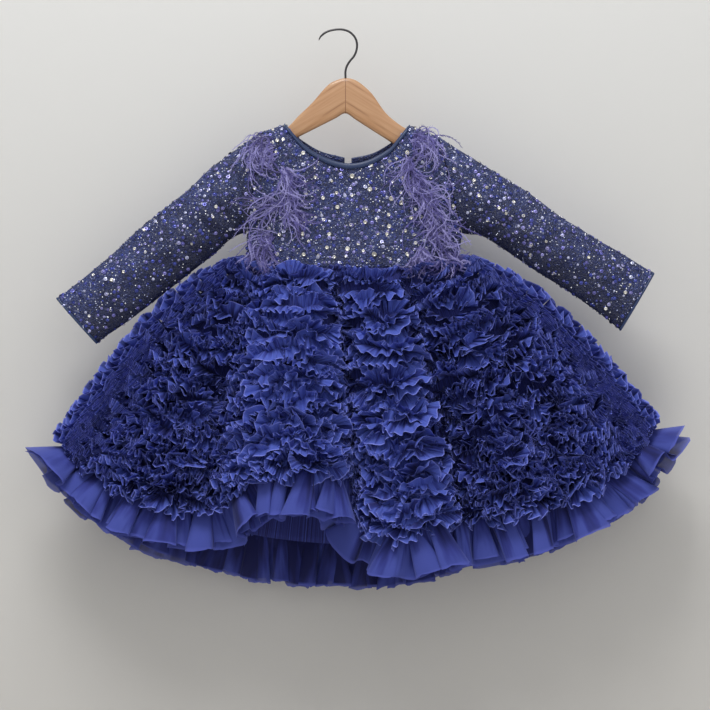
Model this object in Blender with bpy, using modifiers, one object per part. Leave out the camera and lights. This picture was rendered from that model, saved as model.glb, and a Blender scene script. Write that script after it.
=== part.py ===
"""A toddler's long-sleeved party dress with a ruffled tulle skirt, on a wooden hanger.

Metres, +Z up. The front faces -Y and +X is to the right of someone facing the front. The
origin is the inside of the hook's crown, where a rail or a wall hook holds the hanger.
Tables are in millimetres: across is measured along +X, and drop downwards from the origin.
"""

import math

import bpy
import numpy as np

MM = 0.001
SEAM_GAP = 0.3
CLOTH = 1.6
RUFFLE_CLOTH = 1.2

# The bodice, flattened on the hanger: its top edge from shoulder tip to shoulder tip.
# Rows: across, drop, how far the front edge stands forward of the middle.
FRONT_TOP_EDGE = (
    (-94.7, 121.8, 1.7),
    (-81.0, 117.2, 1.7),
    (-67.1, 113.4, 1.7),
    (-63.5, 117.0, 9.5),
    (-49.6, 132.6, 12.6),
    (-34.9, 145.3, 13.5),
    (-12.0, 156.5, 14.0),
    (10.9, 161.0, 14.0),
    (33.8, 156.5, 14.0),
    (57.0, 143.4, 13.5),
    (68.5, 130.5, 12.6),
    (78.0, 119.0, 9.5),
    (82.0, 114.8, 1.7),
    (99.0, 120.5, 1.7),
    (116.5, 127.8, 1.7),
)
NECK_FIRST, NECK_LAST = 2, 12
# The back edge dips less at the centre, where the panels part for the closure.
BACK_TOP_EDGE_LEFT = (
    (-94.7, 121.8, 1.7),
    (-81.0, 117.2, 1.7),
    (-67.1, 113.4, 1.7),
    (-63.5, 117.0, 9.5),
    (-49.6, 129.5, 12.0),
    (-25.0, 144.5, 12.5),
    (4.4, 152.5, 12.5),
)
BACK_TOP_EDGE_RIGHT = (
    (12.6, 153.0, 12.5),
    (40.0, 146.5, 12.5),
    (66.0, 130.5, 12.0),
    (78.0, 119.0, 9.5),
    (82.0, 114.8, 1.7),
    (99.0, 120.5, 1.7),
    (116.5, 127.8, 1.7),
)
# Rows: share of the height above the waist, left side, right side, depth in the middle,
# how far the side edge stands out from the middle at the armhole.
BODICE_SECTIONS = (
    (0.00, -112.0, 141.0, 24.0, 1.7),
    (0.13, -112.5, 142.5, 22.5, 1.7),
    (0.26, -112.5, 144.5, 21.0, 1.7),
    (0.40, -109.1, 139.2, 20.0, 11.4),
    (0.55, -105.5, 133.5, 18.5, 14.2),
    (0.70, -101.9, 127.9, 17.0, 14.2),
    (0.84, -98.5, 122.5, 16.0, 11.9),
    (0.93, -96.4, 119.1, 15.0, 8.5),
    (0.975, -95.3, 117.4, 13.0, 5.3),
)
WAIST_DROP = 285.0
CLOSURE_EDGE_LEFT, CLOSURE_EDGE_RIGHT = 4.4, 12.6
BINDING = 1.0
# What lies on a panel is lifted by this much more than the gap, because a quad may twist.
TWIST_ROOM = 0.8

# The sleeves: rows from the shoulder to the cuff, each the ends of a flattened ring.
# Columns: across and drop of the top edge, across and drop of the lower edge, depth.
LEFT_SLEEVE = (
    (-95.6, 121.5, -113.6, 243.6, 14.5),
    (-121.1, 138.6, -122.0, 245.6, 16.0),
    (-157.1, 165.0, -134.5, 253.0, 16.0),
    (-184.7, 191.4, -151.1, 268.5, 15.5),
    (-224.3, 222.6, -181.1, 292.0, 14.0),
    (-260.3, 255.0, -217.1, 320.5, 12.5),
    (-296.3, 286.2, -253.1, 348.0, 11.0),
    (-340.7, 321.0, -292.7, 375.0, 10.0),
)
RIGHT_SLEEVE = (
    (117.4, 127.4, 145.6, 243.6, 14.5),
    (145.3, 144.6, 154.0, 245.6, 16.0),
    (186.1, 169.8, 169.0, 247.0, 16.0),
    (226.9, 195.0, 195.7, 263.5, 15.5),
    (265.3, 223.8, 231.7, 288.0, 14.0),
    (301.3, 246.6, 267.7, 310.5, 12.5),
    (337.3, 267.0, 300.1, 333.0, 11.0),
    (375.2, 291.0, 334.9, 359.4, 10.0),
)
SLEEVE_RINGS, SLEEVE_SIDES = 9, 14

# The skirt. Its hem is a flattened ring whose drop differs round the front and the back.
SKIRT_TOP_DROP = WAIST_DROP + SEAM_GAP
WAIST_LEFT, WAIST_RIGHT = -112.0, 141.0
HEM_LEFT, HEM_RIGHT = -322.7, 361.3
WAIST_DEPTH, HEM_FRONT_DEPTH, HEM_BACK_DEPTH = 24.0, 40.0, 34.0
# Rows: across at the hem, drop of the hem, across of the same line at the waist.
FRONT_HEM = (
    (-322.7, 499.8, -112.0),
    (-289.0, 528.0, -110.5),
    (-236.0, 555.0, -108.0),
    (-195.5, 563.0, -105.0),
    (-160.0, 564.0, -100.0),
    (-134.0, 560.0, -93.0),
    (-110.0, 540.0, -78.0),
    (-85.0, 526.0, -62.0),
    (-46.7, 523.0, -42.0),
    (-7.0, 528.0, -18.0),
    (11.0, 540.0, -12.0),
    (25.0, 572.0, -6.0),
    (41.0, 588.0, 4.0),
    (77.0, 599.0, 30.0),
    (113.0, 585.0, 52.0),
    (155.0, 584.0, 78.0),
    (194.5, 574.0, 98.0),
    (245.0, 562.0, 115.0),
    (299.0, 540.0, 129.0),
    (341.0, 509.0, 137.0),
    (361.3, 481.8, 141.0),
)
BACK_HEM = (
    (-322.7, 499.8, -112.0),
    (-277.0, 542.0, -95.0),
    (-217.0, 578.0, -76.0),
    (-157.0, 594.0, -56.0),
    (-97.0, 609.0, -34.0),
    (-37.0, 617.0, -10.0),
    (19.3, 619.0, 14.0),
    (83.0, 611.0, 38.0),
    (143.0, 599.0, 62.0),
    (203.0, 585.0, 84.0),
    (263.0, 563.0, 106.0),
    (311.0, 535.0, 124.0),
    (361.3, 481.8, 141.0),
)
# Large folds. Rows: where the fold starts, crests and ends along the hem, its height at the hem.
FRONT_FOLDS = (
    (-290.0, -215.0, -150.0, 12.0),
    (-146.0, -28.0, 12.0, 52.0),
    (22.0, 104.0, 138.0, 42.0),
    (146.0, 205.0, 250.0, 12.0),
    (252.0, 292.0, 330.0, 9.0),
)
BACK_FOLDS = (
    (-270.0, -200.0, -130.0, 9.0),
    (-110.0, -30.0, 50.0, 11.0),
    (70.0, 140.0, 210.0, 10.0),
    (225.0, 275.0, 325.0, 8.0),
)
FOLD_GROWTH = 0.6
FLARE_AT_SIDES, FLARE_AT_CENTRE = 1.5, 1.15
FRONT_COLUMNS, BACK_COLUMNS = 44, 28

TIERS = 9
FIRST_TIER, LAST_TIER = 0.07, 0.945
TIER_HEIGHT_TOP, TIER_HEIGHT = 15.0, 27.0
TIER_LEAN, TIER_WAVE = 11.0, 9.0
SAMPLES_PER_WAVE = 4

FRILL_WAVES = 36
FRILL_DEPTH, FRILL_WAVE, FRILL_GAP = 60.0, 11.0, 1.6

# Feather trims: a strip between two places across the bodice's grid, at its foot and at the
# shoulder, with locks that hang off both edges.
TRIM_LEFT_COLUMNS, TRIM_RIGHT_COLUMNS = (2.7, 1.6), (12.5, 12.6)
TRIM_ROWS = 14
TRIM_WIDTH, TRIM_THICKNESS = 4.0, 1.2
LOCK_SECTIONS = 3
LONG_LOCK, SHORT_LOCK, LOCK_THICKNESS = 44.0, 34.0, 1.6
# Drop of the lowest lock's tip, and how far the highest lock's tip stands over its root.
LOWEST_TIP_DROP, HIGHEST_TIP_RISE = 278.0, 14.0

# The hanger's wooden bow. Columns: across, drop of the top edge, drop of the lower edge.
WOOD = (
    (-110.0, 142.5, 156.0),
    (-101.0, 130.5, 151.5),
    (-90.0, 124.0, 147.0),
    (-79.1, 121.0, 141.5),
    (-64.7, 116.5, 134.7),
    (-50.3, 102.0, 127.5),
    (-34.7, 87.0, 119.7),
    (-16.7, 66.6, 110.6),
    (-6.0, 60.0, 105.2),
    (5.5, 57.2, 99.5),
    (17.0, 59.4, 106.7),
    (27.7, 66.6, 113.6),
    (38.5, 77.4, 120.5),
    (52.9, 97.8, 129.6),
    (66.1, 109.8, 138.0),
    (79.5, 118.4, 144.6),
    (97.5, 124.6, 154.2),
    (112.0, 131.5, 163.0),
    (128.0, 146.5, 171.0),
)
WOOD_THICKNESS = 9.6

WIRE_RADIUS = 1.3
STEM_ACROSS, STEM_END_DROP = 5.5, 72.0
BORE_CLEARANCE = 0.4
# Rows: across, drop of the wire's middle, from the tip round the crown to the stem's end.
HOOK = (
    (-26.6, 11.8),
    (-24.0, 7.0),
    (-18.0, 2.2),
    (-10.0, -0.5),
    (0.0, -1.3),
    (9.0, 1.0),
    (15.8, 6.8),
    (19.0, 14.0),
    (19.0, 22.0),
    (16.2, 30.0),
    (11.0, 36.5),
    (7.3, 42.5),
    (STEM_ACROSS, 49.0),
    (STEM_ACROSS, 57.0),
    (STEM_ACROSS, STEM_END_DROP),
)

# Colours in linear light.
BEADED_NAVY = (0.022, 0.030, 0.105)
SATIN_NAVY = (0.030, 0.055, 0.140)
TULLE_BLUE = (0.040, 0.052, 0.300)
FRILL_BLUE = (0.060, 0.085, 0.400)
FEATHER_LILAC = (0.170, 0.140, 0.420)
VARNISHED_WOOD = (0.520, 0.270, 0.125)
DARK_STEEL = (0.090, 0.088, 0.090)


def clear_scene():
    for obj in list(bpy.data.objects):
        bpy.data.objects.remove(obj, do_unlink=True)


def new_collection(name, hidden=False):
    collection = bpy.data.collections.new(name)
    bpy.context.scene.collection.children.link(collection)
    collection.hide_render = hidden
    return collection


def new_material(name, colour, roughness, metallic=0.0):
    material = bpy.data.materials.new(name)
    material.use_nodes = True
    shader = material.node_tree.nodes["Principled BSDF"]
    shader.inputs["Base Color"].default_value = (*colour, 1.0)
    shader.inputs["Roughness"].default_value = roughness
    shader.inputs["Metallic"].default_value = metallic
    return material


def mesh_object(name, points, faces, material, collection):
    """A mesh object from points in millimetres, given as across, depth and height."""
    mesh = bpy.data.meshes.new(name)
    mesh.from_pydata((np.asarray(points) * MM).tolist(), [], [tuple(face) for face in faces])
    mesh.materials.append(material)
    mesh.shade_smooth()
    obj = bpy.data.objects.new(name, mesh)
    collection.objects.link(obj)
    return obj


def grid_faces(rows, columns, closed, flip):
    """Quads over a grid of points, joined round its columns where it is closed."""
    faces = []
    for row in range(rows - 1):
        for column in range(columns if closed else columns - 1):
            after = (column + 1) % columns
            face = (
                row * columns + column,
                row * columns + after,
                (row + 1) * columns + after,
                (row + 1) * columns + column,
            )
            faces.append(face[::-1] if flip else face)
    return faces


def wall(name, grid, thickness, offset, material, collection, closed=False, flip=False):
    """Cloth of the given thickness on a grid of points; offset -1 puts it inside the grid."""
    rows, columns = grid.shape[:2]
    faces = grid_faces(rows, columns, closed, flip)
    obj = mesh_object(name, grid.reshape(-1, 3), faces, material, collection)
    solidify = obj.modifiers.new("cloth", "SOLIDIFY")
    solidify.thickness = thickness * MM
    solidify.offset = offset
    return obj


def unit(vectors):
    return vectors / np.linalg.norm(vectors, axis=-1, keepdims=True)


def smooth_through(at, knots, values):
    """A curve through the values, with each knot's slope taken from its two neighbours."""
    knots, values = np.asarray(knots, float), np.asarray(values, float)
    slopes = np.gradient(values, knots)
    at = np.clip(at, knots[0], knots[-1])
    index = np.clip(np.searchsorted(knots, at, side="right") - 1, 0, len(knots) - 2)
    span = knots[index + 1] - knots[index]
    part = (at - knots[index]) / span
    start = (1 + 2 * part) * (1 - part) ** 2 * values[index]
    end = part**2 * (3 - 2 * part) * values[index + 1]
    start_slope = part * (1 - part) ** 2 * span * slopes[index]
    end_slope = part**2 * (part - 1) * span * slopes[index + 1]
    return start + end + start_slope + end_slope


def grid_normals(grid):
    """Outward directions of a grid whose rows rise and whose columns run to the right."""
    rising = np.gradient(grid, axis=0)
    across = np.gradient(grid, axis=1)
    return unit(np.cross(across, rising))


def ring_normals(grid):
    """Outward directions of a closed grid whose rows fall, round its folds.

    Each is lengthened where the ring bends, so that what is lifted along it stays as far
    from the faces on both sides as from a flat one.
    """
    falling = np.gradient(grid, axis=0)
    ahead = unit(np.cross(falling, np.roll(grid, -1, axis=1) - grid))
    behind = unit(np.cross(falling, grid - np.roll(grid, 1, axis=1)))
    middle = unit(ahead + behind)
    return middle / np.maximum(np.sum(middle * ahead, axis=-1, keepdims=True), 0.4)


def on_grid(grid, row, column):
    """The point of the faceted grid at a row and column that may lie between its lines."""
    row_0, column_0 = int(min(row, grid.shape[0] - 2)), int(min(column, grid.shape[1] - 2))
    up, right = row - row_0, column - column_0
    low = grid[row_0, column_0] * (1 - right) + grid[row_0, column_0 + 1] * right
    high = grid[row_0 + 1, column_0] * (1 - right) + grid[row_0 + 1, column_0 + 1] * right
    return low * (1 - up) + high * up


def bodice_grid(top_edge, left_limit, right_limit, facing):
    """Rows of a bodice panel from the waist to its top edge.

    Each column keeps its share of the width as it rises, from even spacing at the waist
    to its own place in the top edge. The depth falls from the middle to the side edge with
    the fourth power of the distance across. Facing is -1 for the front and 1 for the back.
    """
    top = np.array(top_edge)
    columns = len(top)
    full_width = top[-1, 0] - top[0, 0]
    rows = []
    for share, left, right, depth, edge in BODICE_SECTIONS:
        low = left if left_limit is None else left_limit
        high = right if right_limit is None else right_limit
        even = np.linspace(0.0, 1.0, columns)
        at_top = (top[:, 0] - top[0, 0]) / full_width
        spread = even + (at_top - even) * share**1.5
        across = low + spread * (high - low)
        drop = WAIST_DROP + (top[:, 1] - WAIST_DROP) * share
        from_middle = np.clip(np.abs(2 * (across - left) / (right - left) - 1), 0, 1)
        out = depth - (depth - edge) * from_middle**4
        out = out - np.maximum(0, out - top[:, 2]) * max(0.0, (share - 0.9) / 0.1) * 0.35
        rows.append(np.stack([across, facing * out, -drop], axis=1))
    rows.append(np.stack([top[:, 0], facing * top[:, 2], -top[:, 1]], axis=1))
    return np.array(rows)


def build_bodice(collection):
    beaded = new_material("beaded_mesh", BEADED_NAVY, 0.5)
    satin = new_material("satin_binding", SATIN_NAVY, 0.35)
    front = bodice_grid(FRONT_TOP_EDGE, None, None, -1)
    left = bodice_grid(BACK_TOP_EDGE_LEFT, None, CLOSURE_EDGE_LEFT, 1)
    right = bodice_grid(BACK_TOP_EDGE_RIGHT, CLOSURE_EDGE_RIGHT, None, 1)
    wall("bodice_front", front, CLOTH, -1, beaded, collection)
    wall("bodice_back_left", left, CLOTH, -1, beaded, collection, flip=True)
    wall("bodice_back_right", right, CLOTH, -1, beaded, collection, flip=True)

    edges = (
        ("neck_binding_front", front, NECK_FIRST, NECK_LAST, False),
        ("neck_binding_back_left", left, NECK_FIRST, left.shape[1] - 1, True),
        ("neck_binding_back_right", right, 0, right.shape[1] - 1 - NECK_FIRST, True),
    )
    for name, panel, first, last, flip in edges:
        outward = grid_normals(panel) * (-1 if flip else 1)
        lifted = panel + outward * (SEAM_GAP + TWIST_ROOM)
        lifted = lifted[-3:, first : last + 1]
        strip = np.array([(lifted[0] + lifted[1]) / 2, lifted[1], lifted[2]])
        wall(name, strip, BINDING, 1, satin, collection, flip=flip)

    tape_left = left[:-2, -1] + np.array([SEAM_GAP, 0, 0])
    tape_right = right[:-2, 0] - np.array([SEAM_GAP, 0, 0])
    tape = np.stack([tape_left, tape_right], axis=1)
    wall("back_zip", tape, CLOTH, -1, satin, collection, flip=True)
    return front


def build_sleeve(name, table, outward, collection, material):
    """A tube of flattened rings, smooth between the table's rows. Outward is -1 on the left."""
    rows = np.array(table)
    at = np.linspace(0, len(rows) - 1, SLEEVE_RINGS)
    knots = np.arange(len(rows))
    values = np.stack([smooth_through(at, knots, rows[:, column]) for column in range(5)], axis=1)
    turn = np.arange(SLEEVE_SIDES) * 2 * math.pi / SLEEVE_SIDES
    centre = (values[:, 0:2] + values[:, 2:4]) / 2
    half = (values[:, 0:2] - values[:, 2:4]) / 2
    flat = centre[:, None, :] + half[:, None, :] * np.cos(turn)[None, :, None]
    depth = -values[:, 4, None] * np.sin(turn)[None, :]
    grid = np.stack([flat[..., 0], depth, -flat[..., 1]], axis=-1)
    wall(name, grid, CLOTH, -1, material, collection, closed=True, flip=outward > 0)


def fold_height(across_hem, folds):
    """How far the cloth stands forward: each fold rises and falls as a quarter sine."""
    height = np.zeros_like(across_hem)
    for start, crest, end, size in folds:
        rise = np.clip((across_hem - start) / (crest - start), 0, 1)
        fall = np.clip((end - across_hem) / (end - crest), 0, 1)
        height += size * np.sin(rise * math.pi / 2) * np.sin(fall * math.pi / 2)
    return height


def skirt_point(turn, down, folded=1.0):
    """A point of the skirt's outer face, in millimetres.

    Turn runs from 0 at the left side round the front to 0.5 at the right side, and back
    round the back to 1. Down runs from 0 at the waist to 1 at the hem. A line down the
    cloth leaves the waist flat and steepens: outward share = down (1.45 - 0.45 down), and
    its drop is that share to a power that is greatest at the sides.
    """
    angle = 2 * math.pi * turn
    side = -np.cos(angle)
    front = np.sin(angle) >= 0
    hem_across = (HEM_LEFT + HEM_RIGHT) / 2 + side * (HEM_RIGHT - HEM_LEFT) / 2
    front_table, back_table = np.array(FRONT_HEM), np.array(BACK_HEM)
    tables = [
        np.where(
            front,
            smooth_through(hem_across, front_table[:, 0], front_table[:, column]),
            smooth_through(hem_across, back_table[:, 0], back_table[:, column]),
        )
        for column in (1, 2)
    ]
    hem_drop, waist_across = tables
    out = down * (1.45 - 0.45 * down)
    power = FLARE_AT_CENTRE + (FLARE_AT_SIDES - FLARE_AT_CENTRE) * side**4
    fall = out**power
    waist_side = 2 * (waist_across - WAIST_LEFT) / (WAIST_RIGHT - WAIST_LEFT) - 1
    flat_waist, flat_hem = 1 - np.clip(np.abs(waist_side), 0, 1) ** 4, 1 - side**4
    hem_depth = np.where(front, HEM_FRONT_DEPTH, HEM_BACK_DEPTH)
    depth = WAIST_DEPTH * flat_waist * (1 - out) + hem_depth * flat_hem * out
    folds = np.where(
        front, fold_height(hem_across, FRONT_FOLDS), fold_height(hem_across, BACK_FOLDS)
    )
    depth = depth + folded * folds * down**FOLD_GROWTH
    across = waist_across + (hem_across - waist_across) * out
    drop = SKIRT_TOP_DROP + (hem_drop - SKIRT_TOP_DROP) * fall
    return np.stack([across, np.where(front, -depth, depth), -drop], axis=-1)


def even_turns():
    """Turns that part the hem into columns of equal length, more of them at the front."""
    turns = []
    for start, columns in ((0.0, FRONT_COLUMNS), (0.5, BACK_COLUMNS)):
        fine = np.linspace(start + 1e-6, start + 0.5 - 1e-6, 801)
        steps = np.linalg.norm(np.diff(skirt_point(fine, 1.0), axis=0), axis=1)
        length = np.concatenate([[0.0], np.cumsum(steps)])
        wanted = np.arange(columns) * length[-1] / columns
        turns.extend(np.interp(wanted, length, fine))
    return np.array(turns)


def skirt_directions(turns, down):
    """Outward and downward directions of the skirt without its folds, at each turn."""
    step = 0.012
    ahead = skirt_point((turns + step) % 1, down, 0.0)
    behind = skirt_point((turns - step) % 1, down, 0.0)
    low = skirt_point(turns, min(down + step, 1.0), 0.0)
    high = skirt_point(turns, max(down - step, 0.0), 0.0)
    downward = unit(low - high)
    outward = unit(np.cross(downward, ahead - behind))
    return outward, downward


def build_skirt(collection):
    tulle = new_material("ruffled_tulle", TULLE_BLUE, 0.85)
    sheer = new_material("hem_tulle", FRILL_BLUE, 0.7)
    turns = even_turns()
    tiers = np.linspace(FIRST_TIER, LAST_TIER, TIERS)
    levels = np.concatenate([[0.0], tiers, [1.0]])
    base = np.array([skirt_point(turns, level) for level in levels])
    wall("skirt_base", base, CLOTH, -1, tulle, collection, closed=True, flip=True)
    seats = base + ring_normals(base) * (SEAM_GAP + RUFFLE_CLOTH / 2)

    for index, level in enumerate(tiers):
        outward, downward = skirt_directions(turns, level)
        grown = min(1.0, 0.25 + index / 4)
        height = TIER_HEIGHT_TOP + (TIER_HEIGHT - TIER_HEIGHT_TOP) * grown
        beat = np.arange(len(turns)) * 2 * math.pi / SAMPLES_PER_WAVE + index * math.pi / 2
        wave = np.sin(beat)[:, None] * TIER_WAVE * (0.6 + 0.4 * grown)
        root = seats[index + 1]
        edge = root + outward * height + downward * (TIER_LEAN + wave)
        strip = np.array([root, edge])
        wall(f"ruffle_tier_{index + 1}", strip, RUFFLE_CLOTH, 0, tulle, collection, closed=True)

    build_frill(base[-1], turns, sheer, collection)


def build_frill(hem, turns, material, collection):
    """The hem frill: two columns to each of the skirt's, four to each wave."""

    def doubled(values):
        between = (values + np.roll(values, -1, axis=0)) / 2
        return np.stack([values, between], axis=1).reshape(-1, values.shape[-1])

    outward, downward = skirt_directions(turns, 1.0)
    side = np.abs(np.cos(2 * math.pi * turns))[:, None] ** 8
    fall = unit(downward * (1 - 0.45 * side) + outward * 0.8 * side)
    lean = unit(outward - fall * np.sum(outward * fall, axis=1, keepdims=True))
    root, fall, lean = doubled(hem), doubled(fall), doubled(lean)
    columns = len(root)
    beat = np.arange(columns) * 2 * math.pi * FRILL_WAVES / columns
    swing = np.sin(beat)[:, None]
    uneven = (0.8 + 0.2 * np.sin(beat / 3 + 0.7))[:, None]
    rows = []
    for share, spread in ((0.0, 0.0), (0.45, 0.5), (1.0, 1.0)):
        reach = FRILL_GAP + (FRILL_DEPTH - FRILL_GAP) * share
        rows.append(root + fall * reach + lean * swing * uneven * FRILL_WAVE * spread)
    wall("hem_frill", np.array(rows), RUFFLE_CLOTH, -1, material, collection, closed=True, flip=True)


def feather_trim(name, panel, columns, sweep, material, collection):
    """A strip down one line of the front panel, each quad of its outer face drawn out into
    a curved, four-sided lock that ends in a point.

    Sweep is -1 where the long locks hang to the left and 1 where they hang to the right.
    """
    outward = grid_normals(panel)
    last_row = panel.shape[0] - 2
    heights = np.linspace(0.15, last_row - 0.6, TRIM_ROWS + 1)
    inner, outer = [], []
    for row, column in zip(heights, np.linspace(*columns, TRIM_ROWS + 1)):
        middle = on_grid(panel, row, column)
        out = unit(on_grid(outward, row, column))
        beside = unit(on_grid(panel, row, column + 0.3) - on_grid(panel, row, column - 0.3))
        for step in (-0.5, 0.0, 0.5):
            point = middle + beside * step * TRIM_WIDTH
            inner.append(point + out * (SEAM_GAP + TWIST_ROOM))
            outer.append(point + out * (SEAM_GAP + TWIST_ROOM + TRIM_THICKNESS))
    count = len(outer)
    points = outer + inner
    ends = (outer[0][2], outer[-1][2])
    faces = []
    for row in range(TRIM_ROWS):
        for half in range(2):
            low, high = row * 3 + half, (row + 1) * 3 + half
            faces.append((count + low, count + high, count + high + 1, count + low + 1))
            corners = (low, low + 1, high + 1, high)
            add_lock(points, faces, corners, ends, half, sweep)
        low, high = row * 3, (row + 1) * 3
        faces.append((low, high, count + high, count + low))
        faces.append((low + 2, count + low + 2, count + high + 2, high + 2))
    for half in range(2):
        top = TRIM_ROWS * 3 + half
        faces.append((half, count + half, count + half + 1, half + 1))
        faces.append((top, top + 1, count + top + 1, count + top))
    mesh_object(name, points, faces, material, collection)


def add_lock(points, faces, corners, heights, half, sweep):
    """Draws one quad out along a bent path, thinning it to a point.

    Heights are those of the trim's foot and top. The tips are spread over a longer line
    than the roots, in the same order, so that no lock crosses another. As the lock bends
    away from the strip, the side of its root that it bends away from becomes its front.
    """
    ring = [np.array(points[corner]) for corner in corners]
    root = sum(ring) / 4
    toward = 1 if half else -1
    foot, top = heights
    share = (root[2] - foot) / (top - foot)
    reach = LONG_LOCK if toward == sweep else SHORT_LOCK
    tip_height = (1 - share) * -LOWEST_TIP_DROP + share * (top + HIGHEST_TIP_RISE)
    ends = np.array([root[0] + toward * reach, root[1] - 6.0, tip_height])
    bend = root + np.array([toward * reach * 0.45, -11.0, (ends[2] - root[2]) * 0.3])
    corners = list(corners)
    for section in range(1, LOCK_SECTIONS + 1):
        along = section / LOCK_SECTIONS
        middle = root * (1 - along) ** 2 + bend * 2 * along * (1 - along) + ends * along**2
        if section == LOCK_SECTIONS:
            points.append(middle)
            tip = len(points) - 1
            for side in range(4):
                faces.append((corners[side], corners[(side + 1) % 4], tip))
            return
        size = (1 - along) ** 0.5
        new = []
        for corner, side in zip(ring, (-1, 1, 1, -1)):
            height = (corner[2] - root[2]) * size * 0.62
            points.append(middle + [0, side * toward * LOCK_THICKNESS / 2 * size, height])
            new.append(len(points) - 1)
        for side in range(4):
            after = (side + 1) % 4
            faces.append((corners[side], corners[after], new[after], new[side]))
        corners = new


def build_hanger(collection, cutters):
    wood_finish = new_material("varnished_wood", VARNISHED_WOOD, 0.35)
    steel = new_material("hook_steel", DARK_STEEL, 0.35, metallic=1.0)
    across, top, low = np.array(WOOD).T
    middle, half = (top + low) / 2, (low - top) / 2
    sides = 10
    turn = (np.arange(sides) + 0.5) * 2 * math.pi / sides
    rounded = np.sign(np.sin(turn)) * np.abs(np.sin(turn)) ** 0.6
    broad = np.sign(np.cos(turn)) * np.abs(np.cos(turn)) ** 0.6
    rings = [
        np.stack(
            [
                np.full(sides, across[index]),
                -WOOD_THICKNESS / 2 * rounded,
                -(middle[index] - half[index] * broad),
            ],
            axis=1,
        )
        for index in range(len(across))
    ]
    faces = grid_faces(len(rings), sides, True, True)
    faces.append(tuple(range(sides)))
    faces.append(tuple(range((len(rings) - 1) * sides, len(rings) * sides))[::-1])
    wood = mesh_object("hanger_wood", np.concatenate(rings), faces, wood_finish, collection)

    bore_depth = STEM_END_DROP + 1.0
    bpy.ops.mesh.primitive_cylinder_add(
        vertices=12,
        radius=(WIRE_RADIUS + BORE_CLEARANCE) * MM,
        depth=bore_depth * MM,
        location=(STEM_ACROSS * MM, 0.0, -bore_depth / 2 * MM),
    )
    bore = bpy.context.object
    bore.name = "stem_bore"
    for owner in list(bore.users_collection):
        owner.objects.unlink(bore)
    cutters.objects.link(bore)
    bore.hide_render = True
    bore.display_type = "WIRE"
    cut = wood.modifiers.new("stem_bore", "BOOLEAN")
    cut.operation = "DIFFERENCE"
    cut.object = bore

    curve = bpy.data.curves.new("hanger_hook", "CURVE")
    curve.dimensions = "3D"
    curve.bevel_depth = WIRE_RADIUS * MM
    curve.bevel_resolution = 2
    curve.use_fill_caps = True
    curve.materials.append(steel)
    spline = curve.splines.new("POLY")
    spline.points.add(len(HOOK) - 1)
    for point, (x, drop) in zip(spline.points, HOOK):
        point.co = (x * MM, 0.0, -drop * MM, 1.0)
    hook = bpy.data.objects.new("hanger_hook", curve)
    collection.objects.link(hook)


def build_dress():
    clear_scene()
    dress = new_collection("ruffled_dress_on_hanger")
    cutters = new_collection("cutters", hidden=True)
    front = build_bodice(dress)
    beaded = bpy.data.materials["beaded_mesh"]
    build_sleeve("sleeve_left", LEFT_SLEEVE, -1, dress, beaded)
    build_sleeve("sleeve_right", RIGHT_SLEEVE, 1, dress, beaded)
    build_skirt(dress)
    feathers = new_material("feathers", FEATHER_LILAC, 0.8)
    feather_trim("feather_trim_left", front, TRIM_LEFT_COLUMNS, -1, feathers, dress)
    feather_trim("feather_trim_right", front, TRIM_RIGHT_COLUMNS, 1, feathers, dress)
    build_hanger(dress, cutters)


build_dress()
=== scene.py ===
"""A toddler's beaded and ruffled party dress on a wooden hanger, finished for the camera.

Metres, +Z up; the front faces -Y. Tables and shapes are worked out in millimetres, as across,
depth and height, and drop is measured downwards from the crown of the hook.
"""

import math

import bpy
import numpy as np
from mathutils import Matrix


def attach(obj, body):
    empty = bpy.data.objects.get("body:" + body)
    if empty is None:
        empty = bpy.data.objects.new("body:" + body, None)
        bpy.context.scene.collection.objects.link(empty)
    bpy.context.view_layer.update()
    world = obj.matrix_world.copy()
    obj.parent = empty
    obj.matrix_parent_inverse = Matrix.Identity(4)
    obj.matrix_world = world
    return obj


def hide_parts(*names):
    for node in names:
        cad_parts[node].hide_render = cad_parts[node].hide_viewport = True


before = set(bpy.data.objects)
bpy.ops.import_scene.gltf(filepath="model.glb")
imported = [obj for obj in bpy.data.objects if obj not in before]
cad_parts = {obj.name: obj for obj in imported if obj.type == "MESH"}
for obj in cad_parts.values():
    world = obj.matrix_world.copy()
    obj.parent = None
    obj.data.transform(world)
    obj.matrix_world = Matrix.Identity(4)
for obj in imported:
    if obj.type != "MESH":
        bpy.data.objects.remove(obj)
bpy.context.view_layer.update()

# The studio: a camera straight in front, a pale wall close behind the dress, a pale floor
# below the view, and soft lights above to the left, in front and behind.
VIEW_ACROSS, VIEW_HEIGHT, VIEW_WIDTH = 0.0169, -0.3894, 0.852
LENS, SENSOR = 150.0, 36.0
WALL_DEPTH, FLOOR_HEIGHT = 0.088, -0.93
# Painted shade on the wall: its colour runs from a lit top to a shaded bottom between these heights.
WALL_PAINTED_SHADE_LOW, WALL_PAINTED_SHADE_HIGH = -0.8, 0.05
WALL_LIT_TOP, WALL_SHADED_BOTTOM = (0.716, 0.711, 0.687), (0.600, 0.584, 0.553)
LIGHTS = (
    ("key", (-0.4, -1.6, 2.2), 1.4, 59.0),
    ("front_fill", (0.7, -3.2, 1.1), 3.0, 20.0),
    ("back_fill", (0.3, 2.6, 0.8), 2.2, 40.0),
)


def node(tree, kind, inputs=None, **settings):
    """A new shader node. Each input takes a value, or another node's output to link."""
    made = tree.nodes.new("ShaderNode" + kind)
    for name, value in settings.items():
        setattr(made, name, value)
    for name, value in (inputs or {}).items():
        if isinstance(value, bpy.types.NodeSocket):
            tree.links.new(value, made.inputs[name])
        else:
            made.inputs[name].default_value = value
    return made


def result(tree, kind, inputs=None, output=0, **settings):
    """An output of a new shader node: its first, unless another is named."""
    return node(tree, kind, inputs, **settings).outputs[output]


def object_place(tree):
    return result(tree, "TexCoord", output="Object")


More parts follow.
